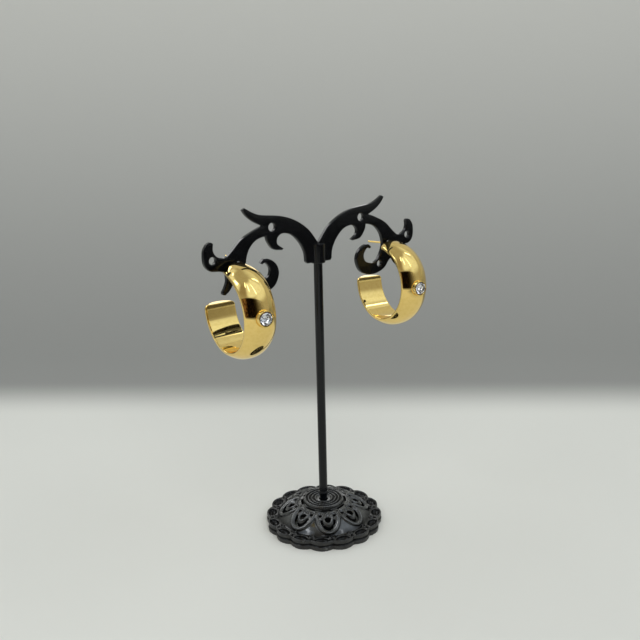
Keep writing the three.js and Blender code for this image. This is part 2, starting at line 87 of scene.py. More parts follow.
class FootSizes(bpy.types.PropertyGroup):
    """Sizes of the cast foot."""

    radius: length("Radius", 25.9, "From the middle to the tip of a scallop")
    scallops: count("Scallops", 16, "Lobes round the rim")
    scallop_depth: length("Scallop depth", 1.4, "How far the rim goes in between two lobes")
    scallop_turn: angle("Scallop turn", 6.25, "Where the first lobe's middle stands")
    rim_width: length("Rim width", 5.4, "From a lobe's tip to the dome")
    rim_height: length("Rim height", 3.95, "Thickness of the scalloped rim")
    rim_wall: length("Rim wall", 4.0, "Solid width of the rim underneath")
    groove: length("Groove", 0.6, "Depth of the groove between the rim's two steps")
    wall: length("Wall", 1.3, "Thickness of the dome")
    dome_rise: length("Dome rise", 6.0, "Height of the dome above the rim")
    disc_radius: length("Disc radius", 8.9, "Radius of the ringed disc on the dome")
    disc_step: length("Disc step", 0.9, "Height of the disc above the dome")
    boss_radius: length("Boss radius", 3.6, "Outer radius of the boss that takes the rod")
    boss_floor: length("Boss floor", 2.0, "Thickness of metal under the rod")
    bore_radius: length("Bore radius", 1.9, "Radius of the bore that takes the rod's neck")
    petals: count("Petals", 8, "Pierced petals round the dome")
    petal_turn: angle("Petal turn", -29.5, "Where the first petal stands")
    petal_width: length("Petal width", 9.4, "Width between the middles of a petal's two sides")
    petal_strand: length("Petal strand", 1.6, "Thickness of the raised strand round a petal")
    inner_strand: length("Inner strand", 1.0, "Thickness of the horseshoe strand inside a petal")
    grain: length("Casting grain", 0.24, "Finest detail that the casting holds")


class RodSizes(bpy.types.PropertyGroup):
    """Sizes of the upright rod."""

    diameter: length("Diameter", 3.7, "Thickness of the rod")
    neck: length("Neck", 3.2, "Thickness of the part that goes down into the foot")
    flange: length("Flange", 4.3, "Thickness of the small flange above the neck")
    flange_height: length("Flange height", 0.9, "Height of the flange")
    neck_height: length("Neck height", 2.7, "Bare neck between the disc and the flange")


class HeadSizes(bpy.types.PropertyGroup):
    """Sizes of the scrolled head."""

    bottom: length("Lower end", 118.0, "Height of the collar's lower end")
    collar_radius: length("Collar radius", 3.1, "Outer radius of the collar")
    collar_height: length("Collar height", 8.2, "Height of the collar")
    collar_roof: length("Collar roof", 2.0, "Metal above the rod's top")
    bore_radius: length("Bore radius", 2.05, "Radius of the bore that takes the rod")
    span: length("Span", 105.0, "Width that the two arms' outline is drawn to")
    thickness: length("Thickness", 2.0, "Thickness of the flat arms")
    edge: length("Edge", 0.42, "Rounding of the arms' edges")
    leaf_hole: length("Leaf hole", 3.2, "Hole under each leaf")
    tip_hole: length("Tip hole", 2.8, "Hole at each arm's end")
    scroll_hole: length("Scroll hole", 2.6, "Hole in each scroll")
    earwire_hole: length("Post hole", 2.0, "Hole that an earring's post hangs in")


class HoopSizes(bpy.types.PropertyGroup):
    """Sizes of one hoop."""

    bore: length("Bore", 30.3, "Inner diameter of the hoop")
    width: length("Width", 13.3, "Width of the band")
    edge: length("Edge", 1.0, "Thickness of the band at its edges")
    dome: length("Dome", 2.55, "How much the band's middle stands above its edges")
    fullness: share("Fullness", 2.3, "How full the dome is: 2 is a parabola")
    corner: length("Corner", 0.35, "Rounding of the band's inner corners")
    front_end: angle("Front end", 91.0, "Where the band ends above the front")
    back_end: angle("Back end", -181.0, "Where the band ends behind")
    taper: length("Taper", 8.0, "Length over which the band narrows to its upper end")
    taper_share: share("Taper share", 0.82, "Width left at the upper end")
    back_corner: length("Back corner", 1.8, "Rounding of the lower end's corners")
    lip: length("Lip", 0.35, "Rounding of the band's two ends")
    post: length("Post", 0.8, "Thickness of the ear post")
    post_length: length("Post length", 14.5, "Length of the ear post behind the band's end")


class CrystalSizes(bpy.types.PropertyGroup):
    """Sizes of a crystal and its cup."""

    diameter: length("Diameter", 4.8, "Width across the crystal")
    crown: length("Crown", 0.7, "Height above the girdle")
    girdle: length("Girdle", 0.2, "Thickness of the girdle")
    pavilion: length("Pavilion", 1.9, "Depth below the girdle")
    table_share: share("Table", 0.58, "Table width as a share of the diameter")
    clearance: length("Clearance", 0.3, "Room between the crystal and its cup")
    wall: length("Cup wall", 0.35, "Thickness of the cup's rim")
    flare: length("Cup flare", 0.3, "How much wider the cup is at its base")
    stand: length("Cup stand", 1.5, "Height of the cup above the band")
    angle: angle("Cup angle", 2.0, "How far above the front of the hoop the cup stands")


class Colours(bpy.types.PropertyGroup):
    """Linear colours of the finishes."""

    gold: colour("Gold", 0.93, 0.68, 0.235, "Polished gold plate")
    paint: colour("Paint", 0.0012, 0.0015, 0.0022, "Gloss black paint")
    casting: colour("Casting", 0.0025, 0.0025, 0.0025, "Satin black on the casting")
    # Grey painted on the casting's high edges and upper dome as painted highlight and sheen, and also
    # used for random wear patches
    sheen_and_wear_grey: colour("Wear", 0.045, 0.048, 0.047, "Worn grey on the casting's high edges")
    crystal: colour("Crystal", 1.0, 1.0, 1.0, "Clear crystal")
    floor: colour("Floor", 0.75, 0.745, 0.695, "Pale floor")
    # The wall's grey is painted shade on the same paper as the floor; the sweep lightens it towards the
    # top
    wall: colour("Wall", 0.305, 0.305, 0.29, "Grey backdrop")


SIZE_GROUPS = {
    "foot": FootSizes,
    "rod": RodSizes,
    "head": HeadSizes,
    "hoop": HoopSizes,
    "crystal": CrystalSizes,
    "colours": Colours,
}

# Arm outline in hundredths of the span: out from the rod, up from the collar's lower end. Each
# stretch is one smooth curve, and the stretches meet in corners.
ARM_START = (0, 7.8)
ARM_STRETCHES = {
    "upper edge": [(1.1, 9.3), (4.8, 13.8), (10.5, 17.6), (17.1, 19.8), (26.7, 21.1), (32.2, 23.8)],
    "leaf tip": [(33.4, 23.2)],
    "leaf underside": [(31.8, 21), (29, 18.7), (25.3, 16.8)],
    "outer arm top": [
        (29.5, 15.2), (34.3, 12.7), (39, 8.4), (41.3, 7), (44.4, 7.7), (45.9, 9.9), (45.7, 12.5),
    ],
    "outer tip": [(46.7, 13.1), (48.2, 12.6)],
    "outer edge": [(49.7, 10.1), (49.7, 5.5), (47.6, 2.9), (43.8, 2.3), (41.3, 1.4)],
    "tail outside": [(41.2, -1.5), (42.1, -3.8), (43.1, -5.4)],
    "tail tip": [(43, -6.3), (41.9, -6.6)],
    "tail inside": [(40, -5.1), (38.1, -2.4)],
    "scroll outside": [
        (36.2, -3.4), (33.7, -6.3), (29.5, -8), (24.8, -8), (20.6, -5.9),
        (18.7, -1.5), (19.8, 2.1), (22.5, 4.2), (25, 4.6), (26.7, 3.2),
    ],
    "scroll tip": [(25.9, 2.7)],
    "scroll inside": [
        (24.4, 3), (22.7, 0.6), (23.4, -2.1), (26.5, -3.4), (29.5, -2.8),
        (31.8, 0.4), (32.8, 4), (31.4, 8.6), (28.2, 11.8), (23.8, 13),
    ],
    "tendril outside": [(23.2, 10.7), (20.8, 7.7), (17, 7)],
    "tendril tip": [(16.3, 7.5), (17.3, 8.2)],
    "lower edge": [(19, 9.7), (18.7, 11.9), (16.4, 13.2), (12.4, 12.2), (9, 9.1), (6.7, 5), (6.2, 1.2)],
    "root corner": [(5.5, 0.4)],
    "root bottom": [(0, 0.4)],
}
LEAF_HOLE = (21.1, 16)
TIP_HOLE = (46.4, 6.5)
SCROLL_HOLE = (31, -4.1)
EARWIRE_HOLE = (35.95, 4.1)

# Petal lines as shares: across of half the petal's width, along from the disc (0) to the rim (1)
PETAL_FRAME = [
    (0.4, 0.21), (0.57, 0.17), (0.8, 0.18), (0.94, 0.27),
    (1, 0.43), (0.96, 0.6), (0.7, 0.79), (0.32, 0.89),
]
PETAL_FRAME_FOOT = 0.915
PETAL_INNER_FRAME = [(0.74, 0.36), (0.78, 0.5), (0.7, 0.64), (0.52, 0.77), (0.27, 0.845)]
PETAL_INNER_FRAME_FOOT = 0.865
HORSESHOE = [(0.4, 0.3), (0.42, 0.44), (0.3, 0.585)]
HORSESHOE_FOOT = 0.655
CRESCENT_OUTSIDE = [(0.72, 0.49), (0.55, 0.71)]
CRESCENT_OUTSIDE_FOOT = 0.83
CRESCENT_INSIDE = [(0.55, 0.475), (0.42, 0.64)]
CRESCENT_INSIDE_FOOT = 0.725

# How each earring hangs, in millimetres and degrees: the middle of its band beside the post's hole,
# the band's turn about Z and roll about Y, and the post's place, turn and tilt
HANGING = {
    "left": {
        "side": -1, "beside": 2.35, "turn": -0.9, "roll": -1.1,
        "post_beside": 0.3, "post_turn": -7.3, "post_tilt": 10,
    },
    "right": {
        "side": 1, "beside": -0.95, "turn": -3.35, "roll": 1.15,
        "post_beside": -0.3, "post_turn": 4.8, "post_tilt": -2,
    },
}
POST_HEIGHT = 1.89 * MM
END_STANDOFF = 2.1 * MM
SEAT_GAP = 0.3 * MM


def sizes(group):
    """The scene's values of one group of sizes."""
    return getattr(bpy.context.scene, "earrings_" + group)


# Modelling steps


def clear_selection():
    if bpy.context.mode != "OBJECT":
        bpy.ops.object.mode_set(mode="OBJECT")
    bpy.ops.object.select_all(action="DESELECT")


def select_only(*pieces):
    clear_selection()
    for piece in pieces:
        piece.select_set(True)
    bpy.context.view_layer.objects.active = pieces[0]


def named(name):
    piece = bpy.context.object
    piece.name = name
    piece.data.name = name
    return piece


def select_points(piece, test):
    """In edit mode, selects just the points whose place passes the test."""
    form = bmesh.from_edit_mesh(piece.data)
    for point in form.verts:
        point.select_set(test(point.co))
    form.select_flush_mode()
    bmesh.update_edit_mesh(piece.data)


def draw_line(name, points):
    """A new piece in edit mode that is one line: a primitive merged to a point, then extruded on."""
    clear_selection()
    bpy.ops.mesh.primitive_plane_add(size=MM, location=(0, 0, 0))
    piece = named(name)
    bpy.ops.object.mode_set(mode="EDIT")
    bpy.ops.mesh.merge(type="CENTER")
    bpy.ops.transform.translate(value=points[0])
    for before, after in zip(points, points[1:]):
        bpy.ops.mesh.extrude_region_move(TRANSFORM_OT_translate={"value": after - before})
    return piece


def weld():
    """Ends edit mode with the doubles merged and the faces pointing out."""
    bpy.ops.mesh.select_all(action="SELECT")
    bpy.ops.mesh.remove_doubles(threshold=WELD)
    bpy.ops.mesh.normals_make_consistent(inside=False)
    bpy.ops.object.mode_set(mode="OBJECT")


def rounded(points, radius, steps=3, sharper_than=25):
    """The line with each of its sharp corners turned into a small curve."""
    line = [points[0]]
    for before, corner, after in zip(points, points[1:], points[2:]):
        coming = corner - before
        going = after - corner
        if coming.angle(going) < math.radians(sharper_than):
            line.append(corner)
            continue
        start = corner - coming.normalized() * min(radius, coming.length * 0.45)
        end = corner + going.normalized() * min(radius, going.length * 0.45)
        for i in range(steps + 1):
            share = i / steps
            line.append(start.lerp(corner, share).lerp(corner.lerp(end, share), share))
    line.append(points[-1])
    return line


def smooth_line(points, steps):
    """A smooth line through the points, as a curve that keeps to its own points."""
    line = []
    last = len(points) - 1
    for i in range(last):
        before, start = points[max(i - 1, 0)], points[i]
        end, after = points[i + 1], points[min(i + 2, last)]
        leaving = (end - before) / 2
        arriving = (after - start) / 2
        for k in range(steps):
            t = k / steps
            line.append(
                (2 * t**3 - 3 * t**2 + 1) * start
                + (t**3 - 2 * t**2 + t) * leaving
                + (3 * t**2 - 2 * t**3) * end
                + (t**3 - t**2) * arriving
            )
    line.append(points[last])
    return line


def turned(name, profile, steps):
    """A turned body about Z, from a profile of (radius, height) that starts and ends on the axis."""
    piece = draw_line(name, [Vector((point[0], 0, point[1])) for point in profile])
    bpy.ops.mesh.select_all(action="SELECT")
    bpy.ops.mesh.spin(steps=steps, angle=FULL_TURN, center=(0, 0, 0), axis=(0, 0, 1))
    weld()
    return piece


def repeat_round(piece, copies):
    """Repeats the piece's own mesh evenly round Z."""
    select_only(piece)
    bpy.ops.object.mode_set(mode="EDIT")
    bpy.ops.mesh.select_all(action="SELECT")
    part_turn = FULL_TURN * (copies - 1) / copies
    bpy.ops.mesh.spin(steps=copies - 1, angle=part_turn, dupli=True, center=(0, 0, 0), axis=(0, 0, 1))
    bpy.ops.object.mode_set(mode="OBJECT")


def put(piece, place):
    """Moves the piece by a matrix, and leaves its object at the origin."""
    select_only(piece)
    piece.matrix_world = place @ piece.matrix_world
    bpy.ops.object.transform_apply(location=True, rotation=True, scale=True)
    return piece


def joined(name, pieces):
    select_only(*pieces)
    if len(pieces) > 1:
        bpy.ops.object.join()
    return named(name)


def applied(piece, kind, **settings):
    """Adds a modifier, sets it and applies it."""
    select_only(piece)
    bpy.ops.object.modifier_add(type=kind)
    modifier = piece.modifiers[-1]
    for key, value in settings.items():
        setattr(modifier, key, value)
    bpy.ops.object.modifier_apply(modifier=modifier.name)


def combined(piece, tool, operation):
    """Joins the tool to the piece, or cuts it away, and deletes the tool."""
    applied(piece, "BOOLEAN", operation=operation, object=tool, solver="EXACT")
    select_only(tool)
    bpy.ops.object.delete()
    return piece


def tube(name, line, radii):
    """A round strand along a line, whose thickness follows the radii."""
    clear_selection()
    bpy.ops.curve.primitive_nurbs_path_add()
    piece = named(name)
    curve = piece.data
    curve.splines.clear()
    spline = curve.splines.new("POLY")
    spline.points.add(len(line) - 1)
    for point, place, radius in zip(spline.points, line, radii):
        point.co = (*place, 1)
        point.radius = radius / MM
    curve.bevel_depth = MM
    curve.bevel_resolution = 2
    curve.use_fill_caps = True
    bpy.ops.object.convert(target="MESH")
    return bpy.context.object


def smoothed(piece, degrees):
    """Smooth shading with sharp edges kept, and wide faces that stay flat beside a small rounding."""
    select_only(piece)
    bpy.ops.object.shade_smooth_by_angle(angle=math.radians(degrees))
    applied(piece, "WEIGHTED_NORMAL", mode="FACE_AREA", weight=80, keep_sharp=True)
    return piece


def finished(piece, node, slot_name, *materials):
    """Gives a piece its finish, and lets it stand for a CAD node of its body."""
    piece.data.materials.clear()
    for material in materials:
        piece.data.materials.append(material)
    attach(piece, "root")
    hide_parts(node)
    return piece


# Materials


class Wire:
    """A number that varies over a surface; arithmetic on it adds Math nodes."""

    def __init__(self, recipe, socket):
        self.recipe = recipe
        self.socket = socket

    def _maths(self, operation, first, second):
        return self.recipe.node("ShaderNodeMath", {"operation": operation}, {0: first, 1: second})

    def __add__(self, other):
        return self._maths("ADD", self, other)

    def __sub__(self, other):
        return self._maths("SUBTRACT", self, other)

    def __rsub__(self, other):
        return self._maths("SUBTRACT", other, self)

    def __mul__(self, other):
        return self._maths("MULTIPLY", self, other)

    def largest(self, other):
        return self._maths("MAXIMUM", self, other)

    def size(self):
        return self._maths("ABSOLUTE", self, 0)

    def arcsine(self):
        return self._maths("ARCSINE", self, 0)

    def bearing_to(self, other):
        return self._maths("ARCTAN2", self, other)

    def above(self, low, high):
        """0 below the low value, 1 above the high one, and smooth between them."""
        return self.ramp(low, high, "SMOOTHSTEP")

    def ramp(self, low, high, kind="LINEAR"):
        """0 at the low value and 1 at the high one."""
        values = {"Value": self, "From Min": low, "From Max": high}
        return self.recipe.node("ShaderNodeMapRange", {"interpolation_type": kind}, values)

    __radd__ = __add__
    __rmul__ = __mul__


class Recipe:
    """The nodes of one material, or of the world."""

    def __init__(self, name, **constants):
        self.material = bpy.data.materials.new(name)
        self.material.use_nodes = True
        self.tree = self.material.node_tree
        self.shader = self.tree.nodes["Principled BSDF"]
        self.set(self.shader, {key.replace("_", " "): value for key, value in constants.items()})

    def set(self, node, values):
        for key, value in values.items():
            if isinstance(value, Wire):
                self.tree.links.new(value.socket, node.inputs[key])
            elif hasattr(value, "__len__") and len(value) == 3 and node.inputs[key].type == "RGBA":
                node.inputs[key].default_value = (*value, 1)
            else:
                node.inputs[key].default_value = value

    def node(self, kind, settings=None, values=None, output=0):
        """Any node: its type, its settings, and the values or links of its sockets."""
        made = self.tree.nodes.new(kind)
        for key, value in (settings or {}).items():
            setattr(made, key, value)
        self.set(made, values or {})
        return Wire(self, made.outputs[output])

    def place(self):
        return self.node("ShaderNodeTexCoord", output="Object")

    def along(self, axis):
        """How far along X, Y or Z the surface lies."""
        return self.node("ShaderNodeSeparateXYZ", {}, {"Vector": self.place()}, output=axis)

    def noise(self, size, detail=2.0, roughness=0.5):
        """Noise from 0 to 1 whose lumps are about the given size."""
        values = {"Vector": self.place(), "Scale": 1 / size, "Detail": detail, "Roughness": roughness}
        return self.node("ShaderNodeTexNoise", {"noise_dimensions": "3D"}, values)

    def mix(self, share, first, second):
        """A colour between two colours."""
        made = self.tree.nodes.new("ShaderNodeMix")
        made.data_type = "RGBA"
        for index, value in ((0, share), (6, first), (7, second)):
            if isinstance(value, Wire):
                self.tree.links.new(value.socket, made.inputs[index])
            elif index:
                made.inputs[index].default_value = (*value, 1)
            else:
                made.inputs[index].default_value = value
        return Wire(self, made.outputs[2])

    def bump(self, height, distance, strength=1.0):
        values = {"Height": height, "Distance": distance, "Strength": strength}
        self.set(self.shader, {"Normal": self.node("ShaderNodeBump", {}, values)})

    def surface(self, **wires):
        self.set(self.shader, {key.replace("_", " "): value for key, value in wires.items()})


def soft_step(wire, middle, softness):
    """0 to 1 where the angle grows past the middle value; both numbers are in degrees."""
    return wire.above(math.radians(middle - softness), math.radians(middle + softness))


class Sky(Recipe):
    """The nodes of the world, which lights the scene with soft-edged patches."""

    def __init__(self, name):
        self.world = bpy.data.worlds.new(name)
        self.world.use_nodes = True
        self.tree = self.world.node_tree
        self.shader = self.tree.nodes["Background"]
        direction = self.node("ShaderNodeTexCoord", output="Generated")
        parts = {"Vector": direction}
        self.x, self.y, self.z = (
            self.node("ShaderNodeSeparateXYZ", {}, parts, output=axis) for axis in range(3)
        )
        self.rise = self.z.arcsine()

    def patch(self, bearing, rise, half_width, half_height, soft_width, soft_height):
        """1 in a patch of the sky and 0 outside, with soft edges; all in degrees."""
        turn = math.radians(bearing)
        beside = self.x * math.cos(turn) + self.y * math.sin(turn)
        ahead = self.x * math.sin(turn) - self.y * math.cos(turn)
        off = beside.bearing_to(ahead).size()
        across = soft_step(off, half_width, soft_width)
        upright = soft_step((self.rise - math.radians(rise)).size(), half_height, soft_height)
        return (1 - across) * (1 - upright)


def gloss_paint():
    recipe = Recipe("gloss_black_paint", IOR=1.37)
    sag = recipe.noise(2.6 * MM, 3.0)
    fine = recipe.noise(0.35 * MM, 2.0)
    paint = tuple(sizes("colours").paint)
    dull = tuple(1.6 * channel for channel in paint)
    recipe.surface(
        Base_Color=recipe.mix(sag.above(0.4, 0.7), paint, dull),
        Roughness=0.08 + 0.1 * sag,
    )
    recipe.bump(sag + 0.12 * fine, 0.03 * MM, 0.4)
    return recipe.material


def satin_casting():
    """Black with painted shade in the hollows from ambient occlusion, glossy where it lies open, and
    grey painted on the high edges and the dome as highlight and sheen, with random wear patches.
    """
    recipe = Recipe("satin_black_casting", IOR=1.12, Coat_IOR=2.05, Coat_Roughness=0.09)
    patch = recipe.noise(3.2 * MM, 4.0, 0.6)
    grit = recipe.noise(0.32 * MM, 3.0)
    settings = {"samples": 8, "only_local": True}
    # Ambient occlusion at two reaches finds the hollows, where shade is painted in
    near = recipe.node("ShaderNodeAmbientOcclusion", settings, {"Distance": 1.2 * MM}, output="AO")
    wide = recipe.node("ShaderNodeAmbientOcclusion", settings, {"Distance": 4.5 * MM}, output="AO")
    # 1 on open surfaces and falling in the hollows: it keeps the hollows black as painted shade, and
    # also takes away their coat and raises their roughness
    lying_open = near.above(0.66, 0.99) * wide.above(0.54, 0.95)
    # Pointiness marks the high edges, which are painted grey as a highlight
    edge = recipe.node("ShaderNodeNewGeometry", output="Pointiness").above(0.515, 0.6)
    # Higher up, on the dome and disc, the casting gets a grey painted sheen
    on_dome = recipe.along("Z").above(4.4 * MM, 6.2 * MM)
    colours = sizes("colours")
    # Random grey patches of wear
    rubbed = patch.above(0.5, 0.72) * grit.above(0.35, 0.7) * 0.3
    # Painted highlight on the edges, painted sheen on the dome and random wear, all kept out of the
    # shaded hollows
    painted_sheen_and_wear = edge.largest(rubbed + 0.9 * on_dome * patch) * lying_open
    recipe.surface(
        Base_Color=recipe.mix(painted_sheen_and_wear, tuple(colours.casting), tuple(colours.sheen_and_wear_grey)),
        Roughness=0.6 - 0.32 * lying_open + 0.1 * grit,
        Coat_Weight=lying_open * (0.25 + 0.45 * patch + 0.3 * on_dome),
    )
    recipe.bump(grit + 0.8 * patch, 0.03 * MM, 0.5)
    return recipe.material


def gold_plate():
    recipe = Recipe("polished_gold_plate", Metallic=1.0)
    wave = recipe.noise(7.0 * MM, 1.0)
    haze = recipe.noise(1.4 * MM, 4.0, 0.65)
    gold = tuple(sizes("colours").gold)
    deep = (gold[0] * 0.93, gold[1] * 0.9, gold[2] * 0.82)
    recipe.surface(
        Base_Color=recipe.mix(haze.above(0.35, 0.75), gold, deep),
        Roughness=0.04 + 0.05 * haze.above(0.4, 0.8),
    )
    recipe.bump(wave, 0.04 * MM, 0.3)
    return recipe.material


def clear_crystal():
    recipe = Recipe("clear_cut_crystal", Transmission_Weight=1.0, IOR=1.9, Roughness=0.0)
    recipe.surface(Base_Color=tuple(sizes("colours").crystal))
    return recipe.material


def silver_foil():
    recipe = Recipe("silver_foil_back", Metallic=1.0)
    tone = recipe.noise(0.9 * MM, 1.0)
    recipe.surface(Base_Color=recipe.mix(tone, (0.96, 0.96, 0.97), (0.86, 0.87, 0.9)), Roughness=0.06)
    return recipe.material


# Foot


def dome_height(foot, radius):
    inner = foot.radius - foot.rim_width
    share = min(max((radius - foot.disc_radius) / (inner - foot.disc_radius), 0), 1)
    return foot.rim_height + foot.dome_rise * (1 - share * share)


def petal_point(foot, across, along):
    """A point on the dome by the petal's own shares, on the petal that points along -Y."""
    inner = foot.radius - foot.rim_width
    radius = foot.disc_radius + (inner - foot.disc_radius) * along
    place = Vector((across * foot.petal_width / 2, -radius, 0))
    place.z = dome_height(foot, place.length)
    return place


def mirrored(foot, half, foot_share, steps):
    """A smooth line down one side of a petal, across its foot and up the other side."""
    points = [petal_point(foot, -across, along) for across, along in half]
    points.append(petal_point(foot, 0, foot_share))
    points += [petal_point(foot, across, along) for across, along in reversed(half)]
    return smooth_line(points, steps)


def on_dome(foot, line):
    for point in line:
        point.z = dome_height(foot, math.hypot(point.x, point.y))
    return line


def foot_profile(foot):
    """The foot's section from the axis underneath, over the rim and dome, and down into the bore."""
    inner = foot.radius - foot.rim_width
    rim = foot.rim_height
    top = rim + foot.dome_rise + foot.disc_step
    ceiling = rim + foot.dome_rise - foot.wall
    hollow = foot.radius - foot.rim_wall
    steps = 8
    under = []
    over = []
    for i in range(steps + 1):
        share = i / steps
        radius = foot.disc_radius + (inner - foot.disc_radius) * share
        under.append((radius - foot.wall, dome_height(foot, radius) - foot.wall))
        over.append((radius, dome_height(foot, radius)))
    outline = [
        (0, 0),
        (foot.boss_radius, 0),
        (foot.boss_radius, ceiling),
        *under,
        (hollow, rim - foot.wall),
        (hollow, 0),
        (foot.radius - 0.2 * MM, 0),
        (foot.radius, 0.48 * rim),
        (foot.radius - foot.groove, 0.53 * rim),
        (foot.radius - foot.groove, 0.66 * rim),
        (foot.radius - 0.1 * MM, 0.71 * rim),
        (foot.radius - 0.3 * MM, rim),
        *reversed(over),
        (foot.disc_radius, top),
        (foot.bore_radius, top),
        (foot.bore_radius, foot.boss_floor),
        (0, foot.boss_floor),
    ]
    return [Vector(point) for point in outline]


def foot_shell(foot):
    """The turned shell of the foot, with its rim drawn in between the lobes."""
    per_scallop = 8
    shell = turned("foot_shell", foot_profile(foot), foot.scallops * per_scallop)
    put(shell, Matrix.Rotation(foot.scallop_turn - math.pi / 2, 4, "Z"))
    select_only(shell)
    bpy.ops.object.mode_set(mode="EDIT")
    step = FULL_TURN / foot.scallops
    outside = foot.radius - 0.4 * foot.rim_width
    for phase in range(1, per_scallop // 2 + 1):
        off_middle = phase * step / per_scallop

        def in_phase(place):
            if math.hypot(place.x, place.y) < outside:
                return False
            bearing = (math.atan2(place.x, -place.y) - foot.scallop_turn) % step
            return abs(min(bearing, step - bearing) - off_middle) < 0.1 * step / per_scallop

        depth = 1 - abs(math.cos(math.pi * phase / per_scallop))
        share = 1 - foot.scallop_depth * depth / foot.radius
        select_points(shell, in_phase)
        bpy.ops.transform.resize(value=(share, share, 1), center_override=(0, 0, 0))
    bpy.ops.object.mode_set(mode="OBJECT")
    return shell


def upright_cutter(name, outline, height):
    """A tall prism from a closed outline, to cut a hole straight down."""
    cutter = draw_line(name, [Vector((point.x, point.y, 0)) for point in outline])
    bpy.ops.mesh.select_all(action="SELECT")
    bpy.ops.mesh.edge_face_add()
    bpy.ops.mesh.extrude_region_move(TRANSFORM_OT_translate={"value": (0, 0, height)})
    weld()
    return cutter


def round_outline(middle, radius, sides):
    return [
        middle + radius * Vector((math.cos(FULL_TURN * i / sides), math.sin(FULL_TURN * i / sides), 0))
        for i in range(sides)
    ]


def petal_cutters(foot):
    """What is pierced in one petal: the crescent, the eye, two side holes and the slot at the disc."""
    height = foot.rim_height + foot.dome_rise + foot.disc_step
    outside = mirrored(foot, CRESCENT_OUTSIDE, CRESCENT_OUTSIDE_FOOT, 5)
    inside = mirrored(foot, CRESCENT_INSIDE, CRESCENT_INSIDE_FOOT, 4)
    eye = petal_point(foot, 0, 0.475)
    outlines = [
        outside + inside[::-1],
        round_outline(eye, 0.27 * foot.petal_width / 2, 14),
        round_outline(petal_point(foot, -0.66, 0.31), 0.62 * MM, 10),
        round_outline(petal_point(foot, 0.66, 0.31), 0.62 * MM, 10),
    ]
    near = foot.disc_radius + 0.35 * MM
    far = foot.disc_radius + 1.15 * MM
    spread = math.asin(0.52 * foot.petal_width / 2 / far)
    arc = [spread * (i / 4 - 1) for i in range(9)]
    slot = [Vector((far * math.sin(a), -far * math.cos(a), 0)) for a in arc]
    slot += [Vector((near * math.sin(a), -near * math.cos(a), 0)) for a in reversed(arc)]
    outlines.append(slot)
    return [upright_cutter("petal_cutter", outline, height) for outline in outlines]


def petal_relief(foot):
    """What is raised on one petal: its framing strand, the horseshoe inside it and a bead."""
    frame_line = on_dome(foot, mirrored(foot, PETAL_FRAME, PETAL_FRAME_FOOT, 4))
    horseshoe = on_dome(foot, mirrored(foot, HORSESHOE, HORSESHOE_FOOT, 5))
    inner_line = on_dome(foot, mirrored(foot, PETAL_INNER_FRAME, PETAL_INNER_FRAME_FOOT, 4))
    strand = foot.petal_strand / 2
    last = len(frame_line) - 1
    fullness = [strand * (0.62 + 0.38 * min(1, 3 * min(i, last - i) / last)) for i in range(last + 1)]
    pieces = [
        tube("petal_frame", frame_line, fullness),
        tube("petal_inner_frame", inner_line, [0.27 * MM] * len(inner_line)),
        tube("petal_horseshoe", horseshoe, [foot.inner_strand / 2] * len(horseshoe)),
    ]
    beads = [(petal_point(foot, 0, 0.27), 0.62 * MM)]
    across, along = PETAL_FRAME[0]
    beads += [(petal_point(foot, side * across, along), 0.55 * MM) for side in (-1, 1)]
    for place, radius in beads:
        clear_selection()
        bpy.ops.mesh.primitive_uv_sphere_add(segments=12, ring_count=8, radius=radius, location=place)
        pieces.append(named("petal_bead"))
        bpy.ops.object.transform_apply(location=True)
    return pieces


def disc_rings(foot):
    """Rope rings on the disc: two strands wound round each ring's own circle."""
    top = foot.rim_height + foot.dome_rise + foot.disc_step
    pieces = []
    for ring in range(4):
        radius = foot.disc_radius - (0.62 + 1.5 * ring) * MM
        strand = 0.28 * MM
        winds = round(FULL_TURN * radius / (2.2 * MM))
        steps = winds * 8
        for start in (0, math.pi):
            line = []
            for i in range(steps + 1):
                bearing = FULL_TURN * i / steps
                wind = start + winds * bearing
                out = radius + 0.14 * MM * math.cos(wind)
                height = top + 0.3 * MM + 0.14 * MM * math.sin(wind)
                line.append(Vector((out * math.cos(bearing), out * math.sin(bearing), height)))
            pieces.append(tube("disc_rope", line, [strand] * len(line)))
    return pieces


def rim_lobes(foot):
    """One lobe's raised flutes and curl, and the cutters of its dimple and the cleft beside it."""
    middle = foot.radius - 2.75 * MM
    rim = foot.rim_height
    clear_selection()
    bpy.ops.mesh.primitive_uv_sphere_add(segments=24, ring_count=14, radius=MM)
    dimple_size = Matrix.Diagonal((2.95, 1.85, 1.5, 1.0))
    dimple = put(named("lobe_cutter"), Matrix.Translation((0, -middle, rim)) @ dimple_size)
    to_valley = Matrix.Rotation(FULL_TURN / foot.scallops / 2, 4, "Z")
    outer = foot.radius - foot.scallop_depth
    cleft = [Vector((0, -outer - MM, rim + 0.1 * MM)), Vector((0, -outer + 2.3 * MM, rim + 0.2 * MM))]
    cleft = put(tube("cleft_cutter", smooth_line(cleft, 4), [0.62 * MM] * 5), to_valley)
    pieces = []
    for across in (-2, -1, 0, 1, 2):
        flute = [
            Vector((across * MM, -(foot.radius - 1.05 * MM), rim - 0.1 * MM)),
            Vector((0.9 * across * MM, -(foot.radius - 1.5 * MM), rim - 0.65 * MM)),
            Vector((0.75 * across * MM, -(middle + 0.3 * MM), rim - 1.2 * MM)),
        ]
        pieces.append(tube("lobe_flute", smooth_line(flute, 3), [0.24 * MM] * 7))
    clear_selection()
    bpy.ops.mesh.primitive_torus_add(
        major_segments=24, minor_segments=8, major_radius=0.85 * MM, minor_radius=0.3 * MM
    )
    inside = foot.radius - foot.rim_width + 0.95 * MM
    curl = put(named("lobe_curl"), Matrix.Translation((0, -inside, rim + 0.16 * MM)))
    pieces.append(put(curl, to_valley))
    return pieces, joined("lobe_cutters", [dimple, cleft])


